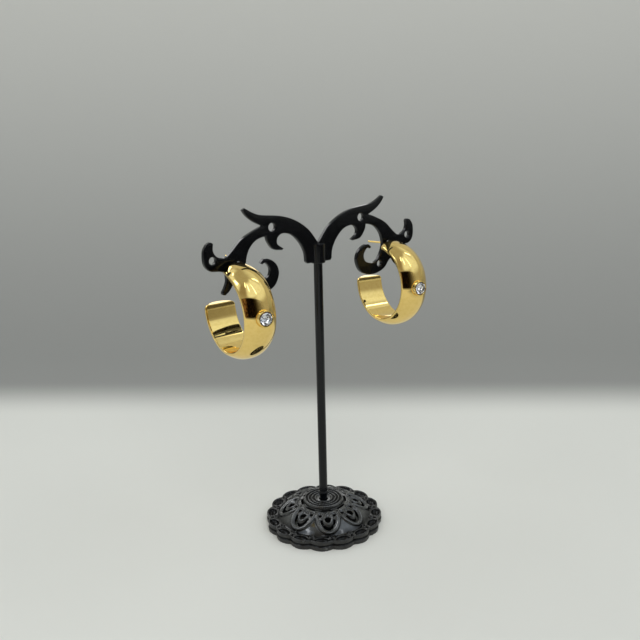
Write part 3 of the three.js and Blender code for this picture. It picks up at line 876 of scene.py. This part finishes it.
def rim_lip(foot):
    """The raised lip along the scalloped edge."""
    per_scallop = 12
    line = []
    for i in range(foot.scallops * per_scallop + 1):
        bearing = foot.scallop_turn + FULL_TURN * i / (foot.scallops * per_scallop)
        depth = 1 - abs(math.cos(math.pi * i / per_scallop))
        out = foot.radius - 0.5 * MM - foot.scallop_depth * depth
        height = foot.rim_height + 0.06 * MM - 0.6 * MM * max(0, depth - 0.6)
        line.append(Vector((out * math.sin(bearing), -out * math.cos(bearing), height)))
    return tube("rim_lip", line, [0.36 * MM] * len(line))


def cast_foot():
    foot = sizes("foot")
    shell = foot_shell(foot)
    to_petal = Matrix.Rotation(foot.petal_turn, 4, "Z")
    to_lobe = Matrix.Rotation(foot.scallop_turn, 4, "Z")
    cutters = put(joined("petal_cutters", petal_cutters(foot)), to_petal)
    repeat_round(cutters, foot.petals)
    combined(shell, cutters, "DIFFERENCE")
    raised, dimple = rim_lobes(foot)
    put(dimple, to_lobe)
    repeat_round(dimple, foot.scallops)
    combined(shell, dimple, "DIFFERENCE")
    lobes = put(joined("lobe_relief", raised), to_lobe)
    repeat_round(lobes, foot.scallops)
    petals = put(joined("petal_relief", petal_relief(foot)), to_petal)
    repeat_round(petals, foot.petals)
    casting = joined("cast_foot", [shell, lobes, petals, rim_lip(foot), *disc_rings(foot)])
    applied(casting, "REMESH", mode="VOXEL", voxel_size=foot.grain, use_smooth_shade=True)
    applied(casting, "SMOOTH", factor=0.5, iterations=1)
    applied(casting, "DECIMATE", ratio=0.6)
    return finished(casting, "stand_foot", "black_casting", satin_casting())


# Rod


def upright_rod():
    rod = sizes("rod")
    foot = sizes("foot")
    head = sizes("head")
    bottom = foot.boss_floor + SEAT_GAP
    flange = foot.rim_height + foot.dome_rise + foot.disc_step + rod.neck_height
    top = head.bottom + head.collar_height - head.collar_roof - SEAT_GAP
    corners = [
        (0, bottom),
        (rod.neck / 2, bottom),
        (rod.neck / 2, flange),
        (rod.flange / 2, flange),
        (rod.flange / 2, flange + rod.flange_height),
        (rod.diameter / 2, flange + rod.flange_height + 0.3 * MM),
        (rod.diameter / 2, top),
        (0, top),
    ]
    piece = turned("upright_rod", rounded([Vector(corner) for corner in corners], 0.25 * MM), 48)
    smoothed(piece, 40)
    return finished(piece, "stand_rod", "black_paint", gloss_paint())


# Head


def arm_point(head, place):
    return Vector((place[0] * head.span / 100, place[1] * head.span / 100, 0))


def arm_outline(head):
    """The outline of both arms, closed in itself."""
    line = [arm_point(head, ARM_START)]
    for stretch in ARM_STRETCHES.values():
        points = [line[-1]] + [arm_point(head, place) for place in stretch]
        line += smooth_line(points, 6 if len(stretch) > 1 else 1)[1:]
    mirror = [Vector((-point.x, point.y, 0)) for point in reversed(line[1:-1])]
    return line + mirror


def flat_plate(name, outlines, thickness, edge):
    """A flat plate with rounded edges from a closed outline and the outlines of its holes."""
    clear_selection()
    bpy.ops.curve.primitive_bezier_circle_add()
    piece = named(name)
    curve = piece.data
    curve.splines.clear()
    for outline in outlines:
        spline = curve.splines.new("POLY")
        spline.points.add(len(outline) - 1)
        for point, place in zip(spline.points, outline):
            point.co = (*place, 1)
        spline.use_cyclic_u = True
    curve.dimensions = "2D"
    curve.fill_mode = "BOTH"
    curve.extrude = thickness / 2 - edge
    curve.bevel_depth = edge
    curve.bevel_resolution = 3
    curve.offset = -edge
    bpy.ops.object.convert(target="MESH")
    bpy.ops.object.mode_set(mode="EDIT")
    weld()
    return bpy.context.object


def cast_head():
    head = sizes("head")
    outlines = [arm_outline(head)]
    holes = (
        (LEAF_HOLE, head.leaf_hole), (TIP_HOLE, head.tip_hole),
        (SCROLL_HOLE, head.scroll_hole), (EARWIRE_HOLE, head.earwire_hole),
    )
    for place, diameter in holes:
        for side in (-1, 1):
            middle = arm_point(head, (side * place[0], place[1]))
            outlines.append(round_outline(middle, diameter / 2, 24)[::-1])
    plate = flat_plate("cast_head", outlines, head.thickness, head.edge)
    put(plate, Matrix.Translation((0, 0, head.bottom)) @ Matrix.Rotation(math.pi / 2, 4, "X"))
    corners = [
        (0, head.bottom),
        (head.collar_radius, head.bottom),
        (head.collar_radius, head.bottom + head.collar_height),
        (0, head.bottom + head.collar_height),
    ]
    collar = turned("collar", rounded([Vector(corner) for corner in corners], 0.45 * MM, 4), 48)
    roof = head.bottom + head.collar_height - head.collar_roof
    below = head.bottom - MM
    wall = head.bore_radius
    bore = turned("collar_bore", [(0, below), (wall, below), (wall, roof), (0, roof)], 48)
    combined(plate, collar, "UNION")
    combined(plate, bore, "DIFFERENCE")
    smoothed(plate, 32)
    return finished(plate, "scroll_head", "black_paint", gloss_paint())


# Hoops, in their own frame: the hoop's middle is the origin and its axis lies along X


def hoop_point(across, radius, bearing):
    """A place on the hoop: the bearing is 0 at the front and grows towards the top."""
    return Vector((across, -radius * math.cos(bearing), radius * math.sin(bearing)))


def band_section(hoop):
    """The band's D section as (across, radius), from one inner corner round to the other."""
    half = hoop.width / 2
    inner = hoop.bore / 2
    steps = 24
    flat = half - 2 * hoop.corner
    corners = [Vector((0, inner)), Vector((flat, inner)), Vector((half, inner))]
    for i in range(steps + 1):
        share = 1 - 2 * i / steps
        rise = 1 - abs(share) ** hoop.fullness
        corners.append(Vector((share * half, inner + hoop.edge + hoop.dome * rise)))
    corners += [Vector((-half, inner)), Vector((-flat, inner)), Vector((0, inner))]
    return rounded(corners, hoop.corner, 4)[:-1]


def band_rows(hoop):
    """Distances along the band from its front end: close at both ends, even between them."""
    whole = (hoop.front_end - hoop.back_end) * (hoop.bore / 2 + hoop.edge)
    quarter = [1 - math.cos(math.radians(degrees)) for degrees in (0, 20, 40, 60, 75, 90)]
    front = [hoop.lip * share for share in quarter]
    step = 0.5 * MM
    front += [hoop.lip + step * i for i in range(1, round(hoop.taper / step))]
    back = [hoop.lip * share for share in quarter]
    back += [hoop.lip + (hoop.back_corner - hoop.lip) * share for share in (0.12, 0.28, 0.48, 0.72, 1.0)]
    even = 150
    start = front[-1]
    end = whole - back[-1]
    middle = [start + (end - start) * i / even for i in range(1, even)]
    return front + middle + [whole - distance for distance in reversed(back)], whole


def round_off(distance, radius):
    """How far a quarter round of that radius lies inside the full width at a distance from the end."""
    left = radius - min(distance, radius)
    return radius - math.sqrt(radius * radius - left * left)


def hoop_band(hoop):
    rows, whole = band_rows(hoop)
    middle_radius = hoop.bore / 2 + hoop.edge
    section = band_section(hoop)
    start = [hoop_point(across, radius, hoop.front_end) for across, radius in section]
    band = draw_line("hoop_band", start)
    form = bmesh.from_edit_mesh(band.data)
    form.verts.ensure_lookup_table()
    ends = [form.verts[0].co.copy(), form.verts[-1].co.copy()]
    select_points(band, lambda place: min((place - end).length for end in ends) < WELD)
    bpy.ops.mesh.edge_face_add()
    bpy.ops.mesh.select_all(action="SELECT")
    for before, after in zip(rows, rows[1:]):
        turn = (after - before) / middle_radius
        bpy.ops.mesh.spin(steps=1, angle=turn, center=(0, 0, 0), axis=(-1, 0, 0))
    thickness = hoop.edge + hoop.dome

    def bearing_of(place):
        return math.atan2(place.z, -place.y)

    for row, distance in enumerate(rows):
        from_back = whole - distance
        if distance >= hoop.taper and from_back > hoop.back_corner:
            continue
        bearing = hoop.front_end - distance / middle_radius
        near = 0.4 * min(
            abs(rows[row] - rows[other]) for other in (row - 1, row + 1) if 0 <= other < len(rows)
        ) / middle_radius

        def in_row(place):
            gap = (bearing_of(place) - bearing + math.pi) % FULL_TURN - math.pi
            return abs(gap) < near

        grown = math.sin(min(distance / hoop.taper, 1) * math.pi / 2)
        across = hoop.taper_share + (1 - hoop.taper_share) * grown
        across *= 1 - 2 * round_off(min(distance, from_back), hoop.lip) / hoop.width
        across *= 1 - 2 * round_off(from_back, hoop.back_corner) / hoop.width
        through = 1 - 2 * round_off(min(distance, from_back), hoop.lip) / thickness
        middle = hoop_point(0, hoop.bore / 2 + thickness / 2, bearing)
        scale = (across, 1, through) if distance < from_back else (across, through, 1)
        select_points(band, in_row)
        bpy.ops.transform.resize(value=scale, center_override=middle)
        if distance in (rows[0], rows[-1]):
            bpy.ops.mesh.edge_face_add()
    weld()
    return band


def onto_front(hoop, crystal):
    """The move that stands what is built on +Z on the front of the hoop."""
    outside = hoop.bore / 2 + hoop.edge + hoop.dome
    return Matrix.Rotation(math.pi / 2 - crystal.angle, 4, "X") @ Matrix.Translation((0, 0, outside))


def cup_solid(hoop, crystal):
    pocket = crystal.diameter / 2 + crystal.clearance
    rim = pocket + crystal.wall
    stand = crystal.stand
    corners = [
        (0, -0.8 * hoop.dome),
        (rim + crystal.flare, -0.8 * hoop.dome),
        (rim + crystal.flare, 0.15 * MM),
        (rim + 0.5 * crystal.flare, 0.5 * stand),
        (rim, stand),
        (0, stand),
    ]
    profile = rounded([Vector(corner) for corner in corners], 0.2 * MM, 4)
    return put(turned("cup", profile, 64), onto_front(hoop, crystal))


def pocket_solid(hoop, crystal):
    pocket = crystal.diameter / 2 + crystal.clearance
    seat = crystal.stand - crystal.girdle - crystal.clearance
    floor = seat - crystal.pavilion - crystal.clearance
    corners = [
        (0, floor),
        (crystal.clearance, floor),
        (pocket, seat),
        (pocket - 0.12 * MM, crystal.stand - 0.2 * MM),
        (pocket + 0.1 * MM, crystal.stand + 0.05 * MM),
        (pocket + 0.1 * MM, crystal.stand + MM),
        (0, crystal.stand + MM),
    ]
    return put(turned("pocket", [Vector(corner) for corner in corners], 64), onto_front(hoop, crystal))


def hoop_place(hanging):
    """Where a hoop's middle hangs, and how it is turned."""
    head = sizes("head")
    hoop = sizes("hoop")
    hole = arm_point(head, EARWIRE_HOLE)
    drop = (head.earwire_hole - hoop.post) / 2 - SEAT_GAP
    middle = Vector((
        hanging["side"] * (hole.x + hanging["beside"] * MM),
        -head.thickness / 2 - END_STANDOFF + hoop.bore / 2 * math.cos(hoop.front_end),
        head.bottom + hole.y - drop - hoop.bore / 2 - POST_HEIGHT,
    ))
    turn = Matrix.Rotation(math.radians(hanging["turn"]), 4, "Z")
    roll = Matrix.Rotation(math.radians(hanging["roll"]), 4, "Y")
    return Matrix.Translation(middle) @ turn @ roll


def ear_post(hanging):
    """The straight post through its hole in the arm, with a rounded tip."""
    head = sizes("head")
    hoop = sizes("hoop")
    hole = arm_point(head, EARWIRE_HOLE)
    drop = (head.earwire_hole - hoop.post) / 2 - SEAT_GAP
    through = Vector((
        hanging["side"] * (hole.x + hanging["post_beside"] * MM), 0, head.bottom + hole.y - drop
    ))
    turn = Matrix.Rotation(math.radians(hanging["post_turn"]), 4, "Z")
    tilt = Matrix.Rotation(math.radians(hanging["post_tilt"]), 4, "X")
    behind = head.thickness / 2 + END_STANDOFF + MM
    radius = hoop.post / 2
    corners = [(0, 0), (radius, 0), (radius, hoop.post_length + MM), (0, hoop.post_length + MM)]
    post = turned("ear_post", rounded([Vector(corner) for corner in corners], 0.36 * MM, 5), 32)
    along_y = Matrix.Rotation(-math.pi / 2, 4, "X")
    ahead = Matrix.Translation((0, 0, -behind))
    return put(post, Matrix.Translation(through) @ turn @ tilt @ along_y @ ahead)


def gold_hoops():
    hoop = sizes("hoop")
    crystal = sizes("crystal")
    first = hoop_band(hoop)
    combined(first, cup_solid(hoop, crystal), "UNION")
    combined(first, pocket_solid(hoop, crystal), "DIFFERENCE")
    gold = gold_plate()
    made = []
    for name, hanging in HANGING.items():
        select_only(first)
        bpy.ops.object.duplicate()
        piece = put(named("gold_hoop_" + name), hoop_place(hanging))
        combined(piece, ear_post(hanging), "UNION")
        smoothed(piece, 28)
        made.append(finished(piece, "hoop_" + name, "gold", gold))
    select_only(first)
    bpy.ops.object.delete()
    return made


# Crystals


def cut_crystals():
    hoop = sizes("hoop")
    crystal = sizes("crystal")
    radius = crystal.diameter / 2
    low = crystal.stand - crystal.girdle
    high = crystal.stand
    table = crystal.table_share * radius
    half_facet = FULL_TURN / 32
    rings = (
        (8, table, high + crystal.crown, 0),
        (8, 0.83 * radius, high + 0.52 * crystal.crown, 2 * half_facet),
        (16, radius, high, 0),
        (16, radius, low, 0),
        (8, 0.52 * radius, low - 0.56 * crystal.pavilion, 2 * half_facet),
        (8, 0.03 * radius, low - crystal.pavilion, 0),
    )
    clear_selection()
    bpy.ops.mesh.primitive_circle_add(vertices=rings[0][0], radius=rings[0][1], location=(0, 0, 0))
    first = named("crystal")
    bpy.ops.object.mode_set(mode="EDIT")
    bpy.ops.transform.translate(value=(0, 0, rings[0][2]))
    for sides, ring_radius, height, turn in rings[1:]:
        bpy.ops.mesh.primitive_circle_add(
            vertices=sides, radius=ring_radius, location=(0, 0, height), rotation=(0, 0, turn)
        )
    bpy.ops.mesh.select_all(action="SELECT")
    bpy.ops.mesh.convex_hull()
    weld()
    materials = (clear_crystal(), silver_foil())
    made = []
    for name, hanging in HANGING.items():
        select_only(first)
        bpy.ops.object.duplicate()
        piece = named("cut_crystal_" + name)
        finished(piece, "crystal_" + name, "crystal", *materials)
        for face in piece.data.polygons:
            face.material_index = 1 if face.center.z < low - 0.01 * MM else 0
        put(piece, hoop_place(hanging) @ onto_front(hoop, crystal))
        made.append(piece)
    select_only(first)
    bpy.ops.object.delete()
    return made


# Stage

CAMERA_PLACE = Vector((-0.17315, -0.23886, 0.17186))
CAMERA_HEADING = -35.99
CAMERA_PITCH = 14.86
CAMERA_ROLL = -1.336
CAMERA_LENS = 40.92
SWEEP_TURN = -39.4
HOOP_HEIGHT = 0.105


def set_camera():
    heading = math.radians(CAMERA_HEADING)
    pitch = math.radians(CAMERA_PITCH)
    roll = math.radians(CAMERA_ROLL)
    level = Vector((math.cos(heading), math.sin(heading), 0))
    forward = Vector((-math.sin(heading), math.cos(heading), 0))
    ahead = forward * math.cos(pitch) - Vector((0, 0, math.sin(pitch)))
    upward = level.cross(ahead)
    right = level * math.cos(roll) + upward * math.sin(roll)
    up = upward * math.cos(roll) - level * math.sin(roll)
    clear_selection()
    bpy.ops.object.camera_add()
    camera = named("camera")
    axes = Matrix((right, up, -ahead)).transposed().to_4x4()
    camera.matrix_world = Matrix.Translation(CAMERA_PLACE) @ axes
    camera.data.lens = CAMERA_LENS
    camera.data.sensor_width = 36
    camera.data.clip_start = 0.01
    camera.data.clip_end = 30
    bpy.context.scene.camera = camera


def heading_place(degrees, distance, height):
    """A place round the object: 0 degrees is in front, -Y, and positive ones are towards +X."""
    turn = math.radians(degrees)
    return Vector((distance * math.sin(turn), -distance * math.cos(turn), height))


def paper_sweep():
    """One sheet of paper: the pale floor, and behind it a wide curve up to the wall, which is painted
    grey as shade and lighter towards the top as painted light.
    """
    colours = sizes("colours")
    away = math.radians(SWEEP_TURN)
    line = [Vector((0, -4, 0)), Vector((0, 0.1, 0)), Vector((0, 0.25, 0))]
    bend = 0.45
    for i in range(1, 25):
        turn = math.pi / 2 * i / 24
        line.append(Vector((0, 0.25 + bend * math.sin(turn), bend * (1 - math.cos(turn)))))
    line.append(Vector((0, 0.25 + bend, 1.2)))
    sweep = draw_line("paper_sweep", [point + Vector((-6, 0, 0)) for point in line])
    bpy.ops.mesh.select_all(action="SELECT")
    bpy.ops.mesh.extrude_region_move(TRANSFORM_OT_translate={"value": (12, 0, 0)})
    bpy.ops.object.mode_set(mode="OBJECT")
    put(sweep, Matrix.Rotation(away, 4, "Z"))
    smoothed(sweep, 60)
    recipe = Recipe("paper", Roughness=1.0, Specular_IOR_Level=0.0)
    behind = recipe.along("Y") * math.cos(away) - recipe.along("X") * math.sin(away)
    # The wall is painted darker at its foot and lighter towards the top: painted shade and light on the
    # paper
    low = tuple(colours.wall)
    high = tuple(min(0.85, 2.35 * channel) for channel in low)
    cloud = recipe.noise(0.2, 1.0)
    painted_wall_shade = recipe.mix(recipe.along("Z").ramp(0.0, 0.46), low, high)
    pale = tuple(colours.floor)
    dull = tuple(0.95 * channel for channel in pale)
    ground = recipe.mix(cloud.above(0.35, 0.7), pale, dull)
    # Behind the floor, the pale paper turns into the painted wall shade
    recipe.surface(Base_Color=recipe.mix(behind.above(0.122, 0.188), ground, painted_wall_shade))
    sweep.data.materials.append(recipe.material)


def reflected_only(card, recipe):
    """Cards show only in the polished metal and the paint, not to the camera and not as shade."""
    card.data.materials.append(recipe.material)
    card.visible_camera = False
    card.visible_diffuse = False
    card.visible_shadow = False


def card_recipe(name, facing):
    """A matt recipe, with how far beside and ahead a place lies as seen from the object."""
    recipe = Recipe(name, Roughness=1.0, Specular_IOR_Level=0.0)
    across = recipe.along("X") * math.cos(facing) + recipe.along("Y") * math.sin(facing)
    ahead = recipe.along("X") * math.sin(facing) - recipe.along("Y") * math.cos(facing)
    return recipe, across, ahead


def flat_card(name, place):
    clear_selection()
    bpy.ops.mesh.primitive_plane_add(size=1, location=(0, 0, 0))
    return put(named(name), place)


def dark_card():
    """A dark upright card in front, which only shows as the dark patch in the polished metal."""
    distance = 0.5
    facing = math.radians(-20)
    width = 2 * distance * math.tan(math.radians(56))
    low = 0.012
    high = HOOP_HEIGHT + 0.38
    middle = heading_place(-20, distance, (low + high) / 2)
    upright = Matrix.Rotation(math.pi / 2, 4, "X") @ Matrix.Diagonal((width, high - low, 1, 1))
    place = Matrix.Translation(middle) @ Matrix.Rotation(facing, 4, "Z") @ upright
    card = flat_card("dark_card", place)
    recipe, across, _ = card_recipe("dark_card", facing)
    height = recipe.along("Z")
    tone = recipe.noise(0.055, 3.0).above(0.42, 0.6)
    brown = recipe.mix(tone, (0.09, 0.045, 0.025), (0.42, 0.23, 0.13))
    black = recipe.mix(tone, (0.004, 0.003, 0.002), (0.02, 0.012, 0.007))
    warm = recipe.mix(across.above(0.02, 0.5), black, (0.24, 0.2, 0.15))
    sides = (1 - across.above(0.12, 0.72)) * across.above(-0.72, -0.5)
    recipe.surface(
        Base_Color=recipe.mix(across.above(-0.3, -0.2), brown, warm),
        Alpha=sides * height.above(0.0, 0.06) * (1 - height.above(high - 0.035, high)),
    )
    reflected_only(card, recipe)


def dark_mat():
    """A dark mat low on the right, which only shows in the glossy paint and keeps it black."""
    facing = math.radians(33)
    place = Matrix.Translation(heading_place(33, 0.96, 0.0015)) @ Matrix.Rotation(facing, 4, "Z")
    mat = flat_card("dark_mat", place @ Matrix.Diagonal((0.96, 1.56, 1, 1)))
    recipe, across, ahead = card_recipe("dark_mat", facing)
    sides = 1 - across.size().above(0.2, 0.47)
    recipe.surface(
        Base_Color=(0.03, 0.022, 0.015),
        Alpha=0.9 * sides * ahead.above(0.18, 0.42) * (1 - ahead.above(0.95, 1.65)),
    )
    reflected_only(mat, recipe)


def soft_fill(bearing, rise, distance, size, watts):
    """A large soft lamp for the paper and the object's colours, which polished metal doesn't show."""
    tilt = math.radians(rise)
    place = heading_place(bearing, distance * math.cos(tilt), distance * math.sin(tilt))
    clear_selection()
    bpy.ops.object.light_add(type="AREA", location=place)
    lamp = named("soft_fill")
    lamp.data.size = size
    lamp.data.energy = watts
    lamp.data.color = (1.0, 0.985, 0.95)
    lamp.rotation_euler = place.to_track_quat("Z", "Y").to_euler()
    lamp.visible_camera = False
    lamp.visible_glossy = False


def rim_panel(name, bearing, rise, half_width, half_height, radiance):
    """A soft panel behind the object that only gives the glossy edges their bright lines."""
    distance = 0.6
    tilt = math.radians(rise)
    place = heading_place(bearing, distance * math.cos(tilt), HOOP_HEIGHT + distance * math.sin(tilt))
    clear_selection()
    bpy.ops.object.light_add(type="AREA", location=place)
    lamp = named(name)
    lamp.data.shape = "RECTANGLE"
    lamp.data.size = 2 * distance * math.tan(math.radians(half_width))
    lamp.data.size_y = 2 * distance * math.tan(math.radians(half_height))
    lamp.data.energy = radiance * math.pi * lamp.data.size * lamp.data.size_y
    lamp.rotation_euler = (place - Vector((0, 0, HOOP_HEIGHT))).to_track_quat("Z", "Y").to_euler()
    lamp.visible_camera = False
    lamp.visible_diffuse = False


def set_world():
    sky = Sky("soft_room")
    bpy.context.scene.world = sky.world
    grey = (0.4, 0.405, 0.39)
    shade = (0.3, 0.275, 0.235)
    white = (0.92, 1.02, 1.12)
    lamp = (4.2, 4.4, 4.6)
    main = sky.patch(18, 56, 52, 18, 12, 5)
    low = 0.85 * sky.patch(52, 38, 42, 12, 20, 8)
    side = 0.65 * sky.patch(100, 45, 34, 22, 22, 12)
    left = sky.patch(-108, 52, 34, 9, 8, 4)
    back = 0.75 * sky.patch(-158, 50, 26, 12, 12, 6)
    light = main.largest(low).largest(side).largest(left).largest(back)
    dusk = sky.patch(-55, 50, 20, 15, 9, 8)
    ceiling = sky.mix(dusk, grey, shade)
    glow = sky.mix(light, ceiling, white)
    tubes = sky.patch(24, 55, 1.7, 12, 1, 4).largest(sky.patch(-16, 62, 2.4, 8, 1.2, 4))
    tubes = tubes.largest(sky.patch(-99, 57, 12, 3, 3, 1)).largest(sky.patch(-38, 68, 2.5, 6, 1, 3))
    tubes = tubes.largest(sky.patch(80, 56, 3, 7, 1.5, 3)).largest(sky.patch(-150, 58, 8, 2, 3, 1))
    lit = sky.mix(tubes, glow, lamp)
    sky.set(sky.shader, {"Color": lit, "Strength": 1.0})


def set_stage():
    set_camera()
    paper_sweep()
    dark_card()
    dark_mat()
    soft_fill(-36, 42, 1.9, 1.6, 15.4)
    rim_panel("rim_panel_left", -166, 35, 13, 7, 3.2)
    rim_panel("rim_panel_right", 146, 15, 12, 6, 1.3)
    set_world()
    bpy.context.scene.view_settings.view_transform = "Standard"


# Operators and panel


class EARRINGS_OT_stage(bpy.types.Operator):
    """Sets the pale floor, the backdrop, the soft lights and the camera"""

    bl_idname = "earrings.stage"
    bl_label = "Stage"

    def execute(self, context):
        set_stage()
        return {"FINISHED"}


class EARRINGS_OT_foot(bpy.types.Operator):
    """Models the scalloped and pierced foot of the stand"""

    bl_idname = "earrings.foot"
    bl_label = "Cast foot"

    def execute(self, context):
        cast_foot()
        return {"FINISHED"}


class EARRINGS_OT_rod(bpy.types.Operator):
    """Turns the upright rod"""

    bl_idname = "earrings.rod"
    bl_label = "Upright rod"

    def execute(self, context):
        upright_rod()
        return {"FINISHED"}


class EARRINGS_OT_head(bpy.types.Operator):
    """Models the two scrolled arms and their collar"""

    bl_idname = "earrings.head"
    bl_label = "Scrolled head"

    def execute(self, context):
        cast_head()
        return {"FINISHED"}


class EARRINGS_OT_hoops(bpy.types.Operator):
    """Models the two gold hoops with their cups and posts"""

    bl_idname = "earrings.hoops"
    bl_label = "Gold hoops"

    def execute(self, context):
        gold_hoops()
        return {"FINISHED"}


class EARRINGS_OT_crystals(bpy.types.Operator):
    """Cuts the two round crystals"""

    bl_idname = "earrings.crystals"
    bl_label = "Cut crystals"

    def execute(self, context):
        cut_crystals()
        return {"FINISHED"}


OPERATORS = (
    EARRINGS_OT_stage,
    EARRINGS_OT_foot,
    EARRINGS_OT_rod,
    EARRINGS_OT_head,
    EARRINGS_OT_hoops,
    EARRINGS_OT_crystals,
)


class EARRINGS_PT_sidebar(bpy.types.Panel):
    """Lists the pieces of the earrings and their stand"""

    bl_label = "Earrings"
    bl_idname = "EARRINGS_PT_sidebar"
    bl_space_type = "VIEW_3D"
    bl_region_type = "UI"
    bl_category = "Earrings"

    def draw(self, context):
        for operator in OPERATORS:
            self.layout.operator(operator.bl_idname)
        for group, kind in SIZE_GROUPS.items():
            box = self.layout.box()
            box.label(text=kind.__doc__)
            for key in kind.__annotations__:
                box.prop(sizes(group), key)


def register():
    for kind in (*SIZE_GROUPS.values(), *OPERATORS, EARRINGS_PT_sidebar):
        bpy.utils.register_class(kind)
    for group, kind in SIZE_GROUPS.items():
        setattr(bpy.types.Scene, "earrings_" + group, PointerProperty(type=kind))


def unregister():
    for group in SIZE_GROUPS:
        delattr(bpy.types.Scene, "earrings_" + group)
    for kind in reversed((*SIZE_GROUPS.values(), *OPERATORS, EARRINGS_PT_sidebar)):
        bpy.utils.unregister_class(kind)


def main():
    register()
    for operator in OPERATORS:
        group, name = operator.bl_idname.split(".")
        getattr(getattr(bpy.ops, group), name)()
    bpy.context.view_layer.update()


if __name__ == "__main__":
    main()
